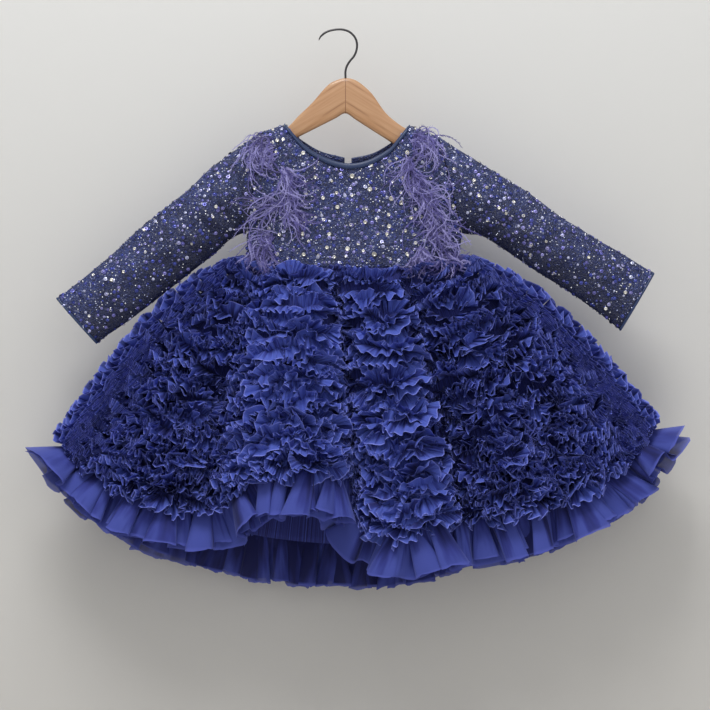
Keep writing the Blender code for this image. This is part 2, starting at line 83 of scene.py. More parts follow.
def ranged(tree, value, low, high, start=0.0, end=1.0):
    """A value between start and end, taken to between low and high."""
    limits = {"From Min": start, "From Max": end, "To Min": low, "To Max": high}
    return result(tree, "MapRange", {"Value": value, **limits})


def ramp(tree, factor, stops):
    """A colour ramp through (place, colour) stops."""
    made = node(tree, "ValToRGB", {"Fac": factor})
    elements = made.color_ramp.elements
    while len(elements) < len(stops):
        elements.new(1.0)
    for element, (place, colour) in zip(elements, stops):
        element.position = place
        element.color = (*colour, 1.0)
    return made.outputs["Color"]


def finish(name, **constants):
    """A material and its tree and Principled shader, with constants on its own sockets."""
    material = bpy.data.materials.new(name)
    material.use_nodes = True
    shader = material.node_tree.nodes["Principled BSDF"]
    for socket, value in constants.items():
        shader.inputs[socket.replace("_", " ")].default_value = value
    return material, material.node_tree, shader


def feed(shader, **sources):
    """Links outputs to the shader's own sockets."""
    for socket, source in sources.items():
        shader.id_data.links.new(source, shader.inputs[socket.replace("_", " ")])


def backdrop(name, corners, material):
    """A flat sheet of the studio, which isn't part of the dress."""
    mesh = bpy.data.meshes.new(name)
    mesh.from_pydata(corners, [], [(0, 1, 2, 3)])
    mesh.materials.append(material)
    obj = bpy.data.objects.new(name, mesh)
    bpy.context.scene.collection.objects.link(obj)
    return obj


camera = bpy.data.objects.new("camera", bpy.data.cameras.new("camera"))
camera.data.lens = LENS
camera.data.sensor_width = SENSOR
camera.location = (VIEW_ACROSS, -VIEW_WIDTH * LENS / SENSOR, VIEW_HEIGHT)
camera.rotation_euler = (math.pi / 2, 0, 0)
bpy.context.scene.collection.objects.link(camera)
bpy.context.scene.camera = camera
bpy.context.scene.view_settings.view_transform = "Standard"

wall_paint, tree, shader = finish("wall_paint", Roughness=0.9)
# Painted shade: the wall's colour is darker towards the bottom, as though lit from above.
height = result(tree, "SeparateXYZ", {"Vector": object_place(tree)}, "Z")
share = ranged(tree, height, 0.0, 1.0, WALL_PAINTED_SHADE_LOW, WALL_PAINTED_SHADE_HIGH)
feed(shader, Base_Color=ramp(tree, share, ((0.0, WALL_SHADED_BOTTOM), (1.0, WALL_LIT_TOP))))
# From behind, the wall is clear, and it throws no shadow, so that the back of the dress is lit.
behind = result(tree, "NewGeometry", output="Backfacing")
clear = result(tree, "BsdfTransparent")
seen = result(tree, "MixShader", {0: behind, 1: shader.outputs["BSDF"], 2: clear})
tree.links.new(seen, tree.nodes["Material Output"].inputs["Surface"])
wall_rim = ((-2.5, FLOOR_HEIGHT), (2.5, FLOOR_HEIGHT), (2.5, 2.0), (-2.5, 2.0))
wall = backdrop("wall", [(across, WALL_DEPTH, height) for across, height in wall_rim], wall_paint)
wall.visible_shadow = False
floor_paint, tree, shader = finish("floor_paint", Roughness=0.85)
shader.inputs["Base Color"].default_value = (*WALL_SHADED_BOTTOM, 1.0)
floor_rim = ((-4, -4), (4, -4), (4, 4), (-4, 4))
backdrop("floor", [(*corner, FLOOR_HEIGHT) for corner in floor_rim], floor_paint)
for name, place, size, power in LIGHTS:
    lamp = bpy.data.lights.new(name, "AREA")
    lamp.size, lamp.energy = size, power
    obj = bpy.data.objects.new(name, lamp)
    obj.location = place
    aim = np.array([VIEW_ACROSS, 0.0, VIEW_HEIGHT]) - np.array(place)
    flat = math.hypot(aim[0], aim[1])
    obj.rotation_euler = (math.atan2(flat, -aim[2]), 0, math.atan2(-aim[0], aim[1]))
    bpy.context.scene.collection.objects.link(obj)
world = bpy.data.worlds.new("room")
bpy.context.scene.world = world
world.use_nodes = True
room = world.node_tree.nodes["Background"].inputs
room["Color"].default_value, room["Strength"].default_value = (0.93, 0.95, 1.0, 1.0), 0.47


# The hook: dark steel wire bent round from a tip at the left, over the crown, and down into
# the middle of the wooden bow, where it is screwed in.
WIRE_RADIUS, WIRE_STEPS, WIRE_SIDES = 1.3, 120, 14
HOOK = (
    (-26.6, 11.8), (-24.0, 7.0), (-18.0, 2.2), (-10.0, -0.5), (0.0, -1.3), (9.0, 1.0),
    (15.8, 6.8), (19.0, 14.0), (19.0, 22.0), (16.2, 30.0), (11.0, 36.5), (7.3, 42.5),
    (5.5, 49.0), (5.5, 57.0), (5.5, 72.0),
)
DARK_STEEL = (0.052, 0.050, 0.052)


def unit(vectors):
    return vectors / np.linalg.norm(vectors, axis=-1, keepdims=True)


def circle(sides):
    """Equal turns round a circle."""
    return np.arange(sides) * 2 * math.pi / sides


def curve_through(at, knots, values):
    """A cubic through values at knots, each knot's slope taken from its two neighbours."""
    knots, values = np.asarray(knots, float), np.asarray(values, float)
    slopes = np.gradient(values, knots, axis=0)
    at = np.clip(at, knots[0], knots[-1])
    index = np.clip(np.searchsorted(knots, at, side="right") - 1, 0, len(knots) - 2)
    span = knots[index + 1] - knots[index]
    part = (at - knots[index]) / span
    shape = part.shape + (1,) * (values.ndim - 1)
    span, part = span.reshape(shape), part.reshape(shape)
    start = (1 + 2 * part) * (1 - part) ** 2 * values[index]
    end = part**2 * (3 - 2 * part) * values[index + 1]
    start_slope = part * (1 - part) ** 2 * span * slopes[index]
    return start + end + start_slope + part**2 * (part - 1) * span * slopes[index + 1]


def quads(rows, columns, closed=False, flip=False):
    """Faces over a grid of points, joined round its columns where it is closed."""
    row, column = np.mgrid[0 : rows - 1, 0 : columns if closed else columns - 1]
    after = (column + 1) % columns
    here, below = row * columns, (row + 1) * columns
    faces = np.stack([here + column, here + after, below + after, below + column], axis=-1)
    faces = faces.reshape(-1, 4)
    return faces[:, ::-1] if flip else faces


def piece(name, points, faces, material, nodes=(), uv=None, tint=None, smooth=True):
    """A mesh from points in millimetres and arrays of faces, on the root body.

    uv and tint are given for each point: the place on the cloth, and a number that the
    material may read: random for beads and fronds, painted shade on the sleeves, and a random
    tone with painted light and shade on the ruffles and the frill.
    """
    faces = faces if isinstance(faces, list) else [faces]
    corners = np.concatenate([part.ravel() for part in faces]).astype(np.int32)
    sizes = np.concatenate([np.full(len(part), part.shape[1]) for part in faces])
    starts = np.concatenate([[0], np.cumsum(sizes)[:-1]]).astype(np.int32)
    points = np.asarray(points, float).reshape(-1, 3)
    mesh = bpy.data.meshes.new(name)
    mesh.vertices.add(len(points))
    mesh.vertices.foreach_set("co", (points * 0.001).ravel())
    mesh.loops.add(len(corners))
    mesh.loops.foreach_set("vertex_index", corners)
    mesh.polygons.add(len(sizes))
    mesh.polygons.foreach_set("loop_start", starts)
    mesh.polygons.foreach_set("loop_total", sizes.astype(np.int32))
    mesh.update(calc_edges=True)
    if uv is not None:
        layer = mesh.uv_layers.new(name="cloth")
        layer.data.foreach_set("uv", np.asarray(uv, float).reshape(-1, 2)[corners].ravel())
    if tint is not None:
        mesh.attributes.new("tint", "FLOAT", "POINT").data.foreach_set(
            "value", np.asarray(tint, float).ravel()
        )
    if smooth:
        mesh.shade_smooth()
    mesh.materials.append(material)
    obj = bpy.data.objects.new(name, mesh)
    bpy.context.scene.collection.objects.link(obj)
    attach(obj, "root")
    if nodes:
        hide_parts(*nodes)
    return obj


def tube(path, radius, sides, flat=1.0):
    """Rings square to a path in the plane of the front, each a circle flattened in depth."""
    along = unit(np.gradient(path, axis=0))
    depth = np.array([0.0, 1.0, 0.0])
    side = unit(np.cross(along, depth))
    turn = circle(sides)
    radius = np.broadcast_to(radius, len(path))[:, None, None]
    ring = side[:, None] * np.cos(turn)[:, None] + depth * np.sin(turn)[:, None] * flat
    return path[:, None] + ring * radius


def capped(rows, columns, flip=False):
    """Faces of a closed tube with both its ends filled."""
    ends = np.array([np.arange(columns)[::-1], np.arange(columns) + (rows - 1) * columns])
    return [quads(rows, columns, True, flip), ends[:, ::-1] if flip else ends]


def noise(tree, where, scale, detail=2.0, **more):
    """A soft noise at each place, from 0 to 1."""
    return result(tree, "TexNoise", {"Vector": where, "Scale": scale, "Detail": detail, **more})


steel, tree, shader = finish("hook_steel", Metallic=1.0)
scratch = noise(tree, object_place(tree), 900.0, 3.0)
rubbed_steel = tuple(2.2 * part for part in DARK_STEEL)
feed(
    shader, Base_Color=ramp(tree, scratch, ((0.3, DARK_STEEL), (0.75, rubbed_steel))),
    Roughness=ranged(tree, scratch, 0.28, 0.5),
)
wire = np.array([(across, 0.0, -drop) for across, drop in HOOK])
wire = curve_through(np.linspace(0, len(wire) - 1, WIRE_STEPS), np.arange(len(wire)), wire)
swell = WIRE_RADIUS * np.sqrt(np.clip(np.linspace(0.05, 9.0, WIRE_STEPS), 0, 1))
rings = tube(wire, swell, WIRE_SIDES)
piece("hook", rings, capped(*rings.shape[:2], flip=True), steel, ["hanger_hook"])


# The hanger's bow: two arms of pale hardwood, mitred and glued at the middle, rounded over at
# their edges and varnished. The shoulders of the dress hang on it.
WOOD = (
    (-110.0, 142.5, 156.0), (-101.0, 130.5, 151.5), (-90.0, 124.0, 147.0),
    (-79.1, 121.0, 141.5), (-64.7, 116.5, 134.7), (-50.3, 102.0, 127.5),
    (-34.7, 87.0, 119.7), (-16.7, 66.6, 110.6), (-6.0, 60.0, 105.2), (5.5, 57.2, 99.5),
    (17.0, 59.4, 106.7), (27.7, 66.6, 113.6), (38.5, 77.4, 120.5), (52.9, 97.8, 129.6),
    (66.1, 109.8, 138.0), (79.5, 118.4, 144.6), (97.5, 124.6, 154.2),
    (112.0, 131.5, 163.0), (128.0, 146.5, 171.0),
)
WOOD_THICKNESS, WOOD_MIDDLE, WOOD_STEPS, WOOD_SIDES = 9.6, 5.5, 110, 28
ARM_SLOPE, SEAM_HALF_WIDTH = 0.62, 0.0004
WOOD_PALE, WOOD_TAN, WOOD_DARK = (0.560, 0.330, 0.175), (0.450, 0.235, 0.110), (0.230, 0.100, 0.042)


def maths(tree, operation, *values):
    return result(tree, "Math", dict(enumerate(values)), operation=operation)


def mapped(tree, where, *scale):
    return result(tree, "Mapping", {"Vector": where, "Scale": scale})


def mixed(tree, factor, first, second):
    """A blend of two colours."""
    blend = {"Factor": factor, "A": first, "B": second}
    return result(tree, "Mix", blend, "Result", data_type="RGBA")


def bumps(tree, height, strength, distance, **more):
    """Raises a surface by a height, with a strength, as far as a distance in metres."""
    depth = {"Strength": strength, "Distance": distance, "Height": height}
    return result(tree, "Bump", {**depth, **more})


wood, tree, shader = finish(
    "varnished_wood", Coat_Weight=0.5, Coat_Roughness=0.18, Specular_IOR_Level=0.4
)
apart = node(tree, "SeparateXYZ", {"Vector": object_place(tree)}).outputs
arm = maths(tree, "ABSOLUTE", maths(tree, "SUBTRACT", apart["X"], WOOD_MIDDLE * 0.001))
over = maths(tree, "MULTIPLY_ADD", arm, ARM_SLOPE, apart["Z"])
length = maths(tree, "MULTIPLY_ADD", apart["Z"], -ARM_SLOPE, arm)
grain_at = result(tree, "CombineXYZ", {"X": length, "Y": over, "Z": apart["Y"]})
fibre = noise(tree, mapped(tree, grain_at, 14.0, 260.0, 160.0), 1.0, 5.0, Roughness=0.6)
broad = noise(tree, mapped(tree, grain_at, 5.0, 60.0, 50.0), 1.0, 2.0, Distortion=1.2)
both = result(tree, "Mix", {"Factor": 0.5, "A": fibre, "B": broad}, "Result")
colour = ramp(tree, both, ((0.30, WOOD_DARK), (0.45, WOOD_TAN), (0.68, WOOD_PALE)))
seam = maths(tree, "LESS_THAN", arm, SEAM_HALF_WIDTH)
feed(
    shader, Base_Color=mixed(tree, seam, colour, (*WOOD_DARK, 1.0)),
    Roughness=ranged(tree, fibre, 0.32, 0.5), Normal=bumps(tree, fibre, 0.25, 0.0004),
)

across, top, low = np.array(WOOD).T
fine = np.linspace(0, len(across) - 1, WOOD_STEPS)
at_rows = np.arange(len(WOOD))
across, top, low = (curve_through(fine, at_rows, column) for column in (across, top, low))
turn = (np.arange(WOOD_SIDES) + 0.5) * 2 * math.pi / WOOD_SIDES
rounded = np.sign(np.sin(turn)) * np.abs(np.sin(turn)) ** 0.55
broadside = np.sign(np.cos(turn)) * np.abs(np.cos(turn)) ** 0.62
middle, half = (top + low) / 2, (low - top) / 2
thick = WOOD_THICKNESS / 2 * np.clip(np.minimum(fine + 0.7, len(WOOD) - 0.3 - fine), 0, 1) ** 0.4
groove = 1 - 0.05 * np.exp(-(((across - WOOD_MIDDLE) / 0.6) ** 2))
wide = np.broadcast_to(across[:, None], (WOOD_STEPS, WOOD_SIDES))
high = -(middle[:, None] - half[:, None] * broadside)
rings = np.stack([wide, -(thick * groove)[:, None] * rounded, high], axis=-1)
piece("wooden_bow", rings, capped(*rings.shape[:2]), wood, ["hanger_wood"])


# The bodice: a front and two back panels of navy net, backed with lining and worked all over
# with beads. They are joined at the sides and shoulders, and stay open at the neck.
LEFT_SHOULDER = (
    (-94.7, 121.8, 1.7), (-81.0, 117.2, 1.7), (-67.1, 113.4, 1.7), (-63.5, 117.0, 9.5),
)
RIGHT_SHOULDER = (
    (78.0, 119.0, 9.5), (82.0, 114.8, 1.7), (99.0, 120.5, 1.7), (116.5, 127.8, 1.7),
)
FRONT_TOP_EDGE = (
    *LEFT_SHOULDER, (-49.6, 132.6, 12.6), (-34.9, 145.3, 13.5), (-12.0, 156.5, 14.0), (10.9, 161.0, 14.0),
    (33.8, 156.5, 14.0), (57.0, 143.4, 13.5), (68.5, 130.5, 12.6), *RIGHT_SHOULDER,
)
BACK_TOP_EDGE_LEFT = (
    *LEFT_SHOULDER, (-49.6, 129.5, 12.0), (-25.0, 144.5, 12.5), (4.4, 152.5, 12.5),
)
BACK_TOP_EDGE_RIGHT = (
    (12.6, 153.0, 12.5), (40.0, 146.5, 12.5), (66.0, 130.5, 12.0), *RIGHT_SHOULDER,
)
BODICE_SECTIONS = (
    (0.00, -112.0, 141.0, 24.0, 1.7), (0.13, -112.5, 142.5, 22.5, 1.7),
    (0.26, -112.5, 144.5, 21.0, 1.7), (0.40, -109.1, 139.2, 20.0, 11.4),
    (0.55, -105.5, 133.5, 18.5, 14.2), (0.70, -101.9, 127.9, 17.0, 14.2),
    (0.84, -98.5, 122.5, 16.0, 11.9), (0.93, -96.4, 119.1, 15.0, 8.5),
    (0.975, -95.3, 117.4, 13.0, 5.3),
)
WAIST_DROP = 285.0
CLOSURE_EDGE_LEFT, CLOSURE_EDGE_RIGHT = 4.4, 12.6
# Rows: the top edge, the limits across at the left and right, and -1 for the front or 1 for
# the back.
PANELS = {
    "bodice_front": (FRONT_TOP_EDGE, None, None, -1),
    "bodice_back_left": (BACK_TOP_EDGE_LEFT, None, CLOSURE_EDGE_LEFT, 1),
    "bodice_back_right": (BACK_TOP_EDGE_RIGHT, CLOSURE_EDGE_RIGHT, None, 1),
}
NET_THICKNESS, NET_SUNK, PANEL_ROWS = 0.0012, 0.6, 60
NET_BLACK, NET_NAVY, NET_BLUE = (0.006, 0.008, 0.028), (0.021, 0.032, 0.122), (0.037, 0.056, 0.200)
GRAIN_BLUE, GRAIN_PALE = (0.090, 0.110, 0.270), (0.300, 0.320, 0.480)
BODICE_CREASES = (
    (-104, 170, -60, 215, 7, 1.6), (-108, 205, -78, 262, 6, 1.3), (128, 175, 92, 222, 7, 1.6),
    (138, 215, 108, 266, 6, 1.3), (-20, 240, -32, 285, 8, 1.2), (46, 236, 58, 285, 8, 1.2),
    (10, 190, 22, 262, 9, 0.9), (-58, 150, -40, 190, 7, 0.9), (70, 150, 56, 196, 7, 0.9),
)


def bodice_grid(top_edge, left_limit, right_limit, facing):
    """Rows of points of a bodice panel from the waist to its top edge.

    Each column keeps its share of the width as it rises, from even spacing at the waist
    to its own place in the top edge. The depth falls from the middle to the side edge with
    the fourth power of the distance across. Facing is -1 for the front and 1 for the back.
    """
    top = np.array(top_edge)
    rows = []
    for share, left, right, depth, edge in BODICE_SECTIONS:
        low = left if left_limit is None else left_limit
        high = right if right_limit is None else right_limit
        even = np.linspace(0.0, 1.0, len(top))
        at_top = (top[:, 0] - top[0, 0]) / (top[-1, 0] - top[0, 0])
        across = low + (even + (at_top - even) * share**1.5) * (high - low)
        drop = WAIST_DROP + (top[:, 1] - WAIST_DROP) * share
        from_middle = np.clip(np.abs(2 * (across - left) / (right - left) - 1), 0, 1)
        out = depth - (depth - edge) * from_middle**4
        out = out - np.maximum(0, out - top[:, 2]) * max(0.0, (share - 0.9) / 0.1) * 0.35
        rows.append(np.stack([across, facing * out, -drop], axis=1))
    rows.append(np.stack([top[:, 0], facing * top[:, 2], -top[:, 1]], axis=1))
    return np.array(rows)


def finer(grid, rows, columns):
    """The same surface with more rows and columns, on cubics through its own points."""
    grid = curve_through(np.linspace(0, len(grid) - 1, rows), np.arange(len(grid)), grid)
    grid = grid.swapaxes(0, 1)
    grid = curve_through(np.linspace(0, len(grid) - 1, columns), np.arange(len(grid)), grid)
    return grid.swapaxes(0, 1)


def grid_normals(grid, closed=False):
    """Directions square to a grid: the cross product of its column and row directions."""
    if closed:
        across = np.roll(grid, -1, axis=1) - np.roll(grid, 1, axis=1)
    else:
        across = np.gradient(grid, axis=1)
    return unit(np.cross(across, np.gradient(grid, axis=0)))


def crease_height(points, creases):
    """How far creases lift the cloth: each falls off with the square of the distance from a
    straight line, and dies away towards both its ends."""
    flat = np.stack([points[..., 0], -points[..., 2]], axis=-1)[..., None, :]
    table = np.array(creases, float)
    start, line = table[:, 0:2], table[:, 2:4] - table[:, 0:2]
    share = np.sum((flat - start) * line, axis=-1) / np.sum(line**2, axis=-1)
    nearest = start + np.clip(share, 0, 1)[..., None] * line
    away = np.linalg.norm(flat - nearest, axis=-1)
    fade = np.clip(np.sin(math.pi * np.clip(share * 0.9 + 0.05, 0, 1)), 0, 1)
    return np.sum(table[:, 5] * fade * np.exp(-((away / table[:, 4]) ** 2)), axis=-1)


def cloth_wall(obj, thickness, offset=-1.0):
    """Gives a sheet the thickness of its cloth, to the inner side."""
    solidify = obj.modifiers.new("cloth", "SOLIDIFY")
    solidify.thickness = thickness
    solidify.offset = offset


def own_tint(tree):
    """The number that each point of a mesh carries, such as a bead's own shade."""
    return result(tree, "Attribute", output="Fac", attribute_name="tint")


beaded, tree, shader = finish("beaded_net", Specular_IOR_Level=0.5)
where = object_place(tree)
cells = node(tree, "TexVoronoi", {"Vector": where, "Scale": 620.0}).outputs
pick = node(tree, "SeparateColor", {"Color": cells["Color"]}).outputs
grains = ((0.0, NET_BLACK), (0.22, NET_NAVY), (0.80, NET_BLUE), (0.93, GRAIN_BLUE), (0.985, GRAIN_PALE))
patch = ranged(tree, noise(tree, where, 55.0, 3.0), 0.45, 1.0, 0.35, 0.65)
# Painted shade: on the sleeves the tint darkens the net round their lower half; the noise patches are the
# beading's own random spread.
beading_and_painted_shade = maths(tree, "MULTIPLY", patch, own_tint(tree))
shine = maths(tree, "GREATER_THAN", pick["Red"], 0.72)
domes = ranged(tree, cells["Distance"], 1.0, 0.0, 0.0, 0.7)
feed(
    shader, Base_Color=mixed(tree, beading_and_painted_shade, (*NET_BLACK, 1.0), ramp(tree, pick["Red"], grains)),
    Roughness=ranged(tree, pick["Green"], 0.22, 0.75), Metallic=maths(tree, "MULTIPLY", shine, 0.6),
    Normal=bumps(tree, domes, 0.9, 0.0008),
)

panels = {}
for name, columns, cut in (
    ("bodice_front", 90, (0.262, 0.172)), ("bodice_back_left", 46, (0.125, 0.172)),
    ("bodice_back_right", 46, (0.140, 0.172)),
):
    facing = PANELS[name][-1]
    grid = finer(bodice_grid(*PANELS[name]), PANEL_ROWS, columns)
    outward = grid_normals(grid) * -facing
    inside = np.sin(np.linspace(0, math.pi, columns))[None, :] ** 0.5
    rise = np.sin(np.clip(np.linspace(0, 1.2, PANEL_ROWS), 0, 1) * math.pi)[:, None]
    lift = crease_height(grid, BODICE_CREASES) - NET_SUNK
    grid = grid + outward * (lift * inside * np.clip(rise * 1.5, 0, 1))[..., None]
    obj = piece(
        name + "_net", grid, quads(PANEL_ROWS, columns, flip=facing > 0), beaded,
        [name], tint=np.ones(grid.shape[:2]),
    )
    cloth_wall(obj, NET_THICKNESS)
    panels[name] = grid


# The neck binding: a narrow bias strip of satin, folded over the raw edge of the net and
# stitched down. Its two back ends stop at the closure.
# The satin's navy and a lit copy of it, which paints its sheen in streaks.
SATIN_NAVY, SATIN_LIT = (0.010, 0.022, 0.072), (0.018, 0.042, 0.128)
BINDING_HALF_WIDTH, BINDING_ROUND, BINDING_CUT = 3.4, 2.0, 0.0102
BINDING_STEPS, BINDING_SIDES = 70, 14


def cloth_place(tree):
    return result(tree, "UVMap", output="UV", uv_map="cloth")


satin, tree, shader = finish(
    "satin_binding", Sheen_Weight=0.25, Sheen_Roughness=0.4, Sheen_Tint=(0.40, 0.62, 1.0, 1.0),
    Specular_IOR_Level=0.5,
)
# Painted sheen: streaks of the lit colour along the binding, which also vary its polish and bumps.
thread_and_painted_sheen = noise(tree, mapped(tree, cloth_place(tree), 1.0, 9.0, 1.0), 1.4, 4.0)
feed(
    shader, Base_Color=ramp(tree, thread_and_painted_sheen, ((0.32, SATIN_NAVY), (0.72, SATIN_LIT))),
    Roughness=ranged(tree, thread_and_painted_sheen, 0.3, 0.5), Normal=bumps(tree, thread_and_painted_sheen, 0.3, 0.0004),
)


def length_along(path):
    """Distance from the start of a path to each of its points."""
    steps = np.linalg.norm(np.diff(path, axis=0), axis=-1)
    return np.concatenate([np.zeros((1, *steps.shape[1:])), np.cumsum(steps, axis=0)])


def paired(first, second):
    """Two numbers for each point of a grid, such as its place on the cloth."""
    return np.stack(np.broadcast_arrays(first, second), axis=-1)


# Rows: the side, and the first and last points of its panel's top edge that are bound.
for side, first, last in (("front", 2, 12), ("back_left", 2, 6), ("back_right", 0, 4)):
    facing = PANELS["bodice_" + side][-1]
    panel = bodice_grid(*PANELS["bodice_" + side])
    outward = (grid_normals(panel) * -facing)[-1, first : last + 1]
    high = panel[-1, first : last + 1]
    down = unit((panel[-3] + panel[-2])[first : last + 1] / 2 - high)
    at, knots = np.linspace(0, last - first, BINDING_STEPS), np.arange(last - first + 1)
    down, outward = unit(curve_through(at, knots, down)), unit(curve_through(at, knots, outward))
    path = curve_through(at, knots, high) + down * BINDING_HALF_WIDTH * 0.75 + outward * 0.9
    run = length_along(path)[:, None]
    middle = (path + outward * np.sin(run * 0.9) * 0.15)[:, None]
    # The section is an ellipse, wide across the strip and low outward.
    turn = circle(BINDING_SIDES)[:, None]
    wide, high = np.cos(turn) * BINDING_HALF_WIDTH, np.sin(turn) * BINDING_ROUND
    rings = middle + down[:, None] * wide + outward[:, None] * high
    name = "neck_binding_" + side
    obj = piece(
        name + "_satin", rings, capped(*rings.shape[:2], flip=facing < 0), satin,
        [name], paired(run, np.linspace(0, 1, BINDING_SIDES)),
    )
    cut = (run[-1, 0] * 0.001, BINDING_CUT)


# The back closure: a woven zip tape down the middle of the back, its coil closed.
ZIP_NAVY, ZIP_TEETH = (0.018, 0.026, 0.085), (0.050, 0.060, 0.130)
ZIP_ROWS, ZIP_COLUMNS, TOOTH_PITCH, TAPE_WIDTH, TAPE_THICKNESS = 200, 9, 2.4, 8, 0.0008
TAPE_UNDER, TAPE_TUCK, TAPE_SUNK, TOOTH_HEIGHT = 0.3, 2.6, 0.3, 0.9

tape_cloth, tree, shader = finish("zip_tape", Roughness=0.7)
ribs = {"Vector": cloth_place(tree), "Scale": 0.9, "Distortion": 0.6}
weave = result(tree, "TexWave", ribs, "Fac", bands_direction="Y")
feed(
    shader, Base_Color=ramp(tree, weave, ((0.2, ZIP_NAVY), (0.9, ZIP_TEETH))),
    Normal=bumps(tree, weave, 0.4, 0.0004),
)
left = bodice_grid(*PANELS["bodice_back_left"])[:-2, -1]
right = bodice_grid(*PANELS["bodice_back_right"])[:-2, 0]
at = np.linspace(0, len(left) - 1, ZIP_ROWS)
left, right = (curve_through(at, np.arange(len(side)), side) for side in (left, right))
share = np.linspace(-TAPE_UNDER, 1 + TAPE_UNDER, ZIP_COLUMNS)
tape = left[:, None] + (right - left)[:, None] * share[:, None]
tape[..., 1] -= np.clip(np.abs(share - 0.5) - 0.5, 0, 1) / TAPE_UNDER * TAPE_TUCK
run = length_along(left)
beat = (0.7 + 0.3 * np.sin(run * 2 * math.pi / TOOTH_PITCH))[:, None]
tape[..., 1] += np.exp(-(((share - 0.5) / 0.14) ** 2)) * beat * TOOTH_HEIGHT - TAPE_SUNK
obj = piece(
    "zip_tape_closed", tape, quads(ZIP_ROWS, ZIP_COLUMNS, flip=True), tape_cloth,
    ["back_zip"], paired(share * TAPE_WIDTH, run[:, None]),
)
cloth_wall(obj, TAPE_THICKNESS)


# The sleeves: long narrow tubes of the same beaded net, set into the armholes and turned in at
# the cuffs with a thin shiny edge. They hang slack, with soft creases at elbow and armpit.
LEFT_SLEEVE = (
    (-95.6, 121.5, -113.6, 243.6, 14.5), (-121.1, 138.6, -122.0, 245.6, 16.0),
    (-157.1, 165.0, -134.5, 253.0, 16.0), (-184.7, 191.4, -151.1, 268.5, 15.5),
    (-224.3, 222.6, -181.1, 292.0, 14.0), (-260.3, 255.0, -217.1, 320.5, 12.5),
    (-296.3, 286.2, -253.1, 348.0, 11.0), (-340.7, 321.0, -292.7, 375.0, 10.0),
)
RIGHT_SLEEVE = (
    (117.4, 127.4, 145.6, 243.6, 14.5), (145.3, 144.6, 154.0, 245.6, 16.0),
    (186.1, 169.8, 169.0, 247.0, 16.0), (226.9, 195.0, 195.7, 263.5, 15.5),
    (265.3, 223.8, 231.7, 288.0, 14.0), (301.3, 246.6, 267.7, 310.5, 12.5),
    (337.3, 267.0, 300.1, 333.0, 11.0), (375.2, 291.0, 334.9, 359.4, 10.0),
)
LEFT_CREASES = (
    (-118, 236, -150, 190, 7, 2.2), (-126, 244, -176, 214, 7, 1.9), (-104, 178, -132, 150, 9, 1.4),
    (-158, 262, -196, 244, 8, 1.8), (-186, 280, -222, 248, 8, 1.5), (-210, 300, -238, 286, 8, 1.6),
    (-232, 236, -262, 262, 9, 1.3), (-258, 340, -292, 300, 9, 1.3), (-280, 282, -300, 306, 8, 1.1),
    (-120, 182, -212, 254, 15, 2.2), (-190, 238, -304, 330, 14, 2.0),
)
RIGHT_CREASES = (
    (150, 236, 180, 196, 7, 2.2), (158, 243, 208, 214, 7, 1.9), (124, 186, 152, 156, 9, 1.4),
    (186, 254, 226, 240, 8, 1.8), (214, 270, 250, 238, 8, 1.5), (244, 288, 272, 262, 8, 1.6),
    (268, 230, 300, 256, 9, 1.3), (292, 322, 330, 286, 9, 1.3), (330, 276, 346, 300, 8, 1.1),
    (140, 184, 244, 246, 15, 2.2), (222, 232, 350, 314, 14, 2.0),
)
SLEEVE_ROWS, SLEEVE_SIDES = 90, 72
CUFF_LIP, CUFF_SIDES = 0.9, 8
SLEEVE_CREASING, SLEEVE_SUNK = 2.1, 1.6


def sleeve_grid(table, rows, sides):
    """A tube of flattened rings between the top and lower edges of the table's rows: each
    ring is an ellipse, across its middle by the cosine and in depth by the sine."""
    table = np.array(table)
    values = curve_through(np.linspace(0, len(table) - 1, rows), np.arange(len(table)), table)
    turn = circle(sides)
    centre, half = (values[:, 0:2] + values[:, 2:4]) / 2, (values[:, 0:2] - values[:, 2:4]) / 2
    flat = centre[:, None] + half[:, None] * np.cos(turn)[:, None]
    depth = -values[:, 4, None] * np.sin(turn)
    return np.stack([flat[..., 0], depth, -flat[..., 1]], axis=-1)


for name, table, creases, outward_sign in (
    ("sleeve_left", LEFT_SLEEVE, LEFT_CREASES, -1), ("sleeve_right", RIGHT_SLEEVE, RIGHT_CREASES, 1),
):
    grid = sleeve_grid(table, SLEEVE_ROWS, SLEEVE_SIDES)
    outward = grid_normals(grid, closed=True)
    from_axis = grid - grid.mean(axis=1, keepdims=True)
    outward = outward * np.sign(np.sum(outward * from_axis, axis=-1, keepdims=True))
    facing = 0.45 + 0.55 * np.clip(-outward[..., 1], 0, 1)
    # Painted shade: the net is darker round the lower half, which faces away from the light.
    beading_and_painted_shade = 0.6 + 0.55 * np.cos(circle(SLEEVE_SIDES))
    ends = np.clip(np.linspace([0, 14], [12, 0.2], SLEEVE_ROWS), 0, 1).prod(axis=1)
    lift = (crease_height(grid, creases) * SLEEVE_CREASING - SLEEVE_SUNK) * facing * ends[:, None]
    grid = grid + outward * lift[..., None]
    obj = piece(
        name + "_net", grid, quads(SLEEVE_ROWS, SLEEVE_SIDES, True, outward_sign < 0), beaded,
        [name], tint=np.tile(np.clip(beading_and_painted_shade, 0.2, 1), (SLEEVE_ROWS, 1)),
    )
    cloth_wall(obj, NET_THICKNESS)
    panels[name] = grid
    away = unit(grid[-1] - grid[-5]).mean(axis=0)
    turn = circle(CUFF_SIDES)[:, None]
    ring = grid[-1][:, None] + outward[-1][:, None] * (np.cos(turn) * CUFF_LIP)
    ring = ring + away * (np.sin(turn) * CUFF_LIP * 1.6)
    faces = quads(SLEEVE_SIDES + 1, CUFF_SIDES, True, outward_sign > 0) % (SLEEVE_SIDES * CUFF_SIDES)
    uv = paired(length_along(grid[-1])[:, None], np.linspace(0, 1, CUFF_SIDES))
    edge = piece(name + "_cuff_edge", ring, faces, satin, (), uv)


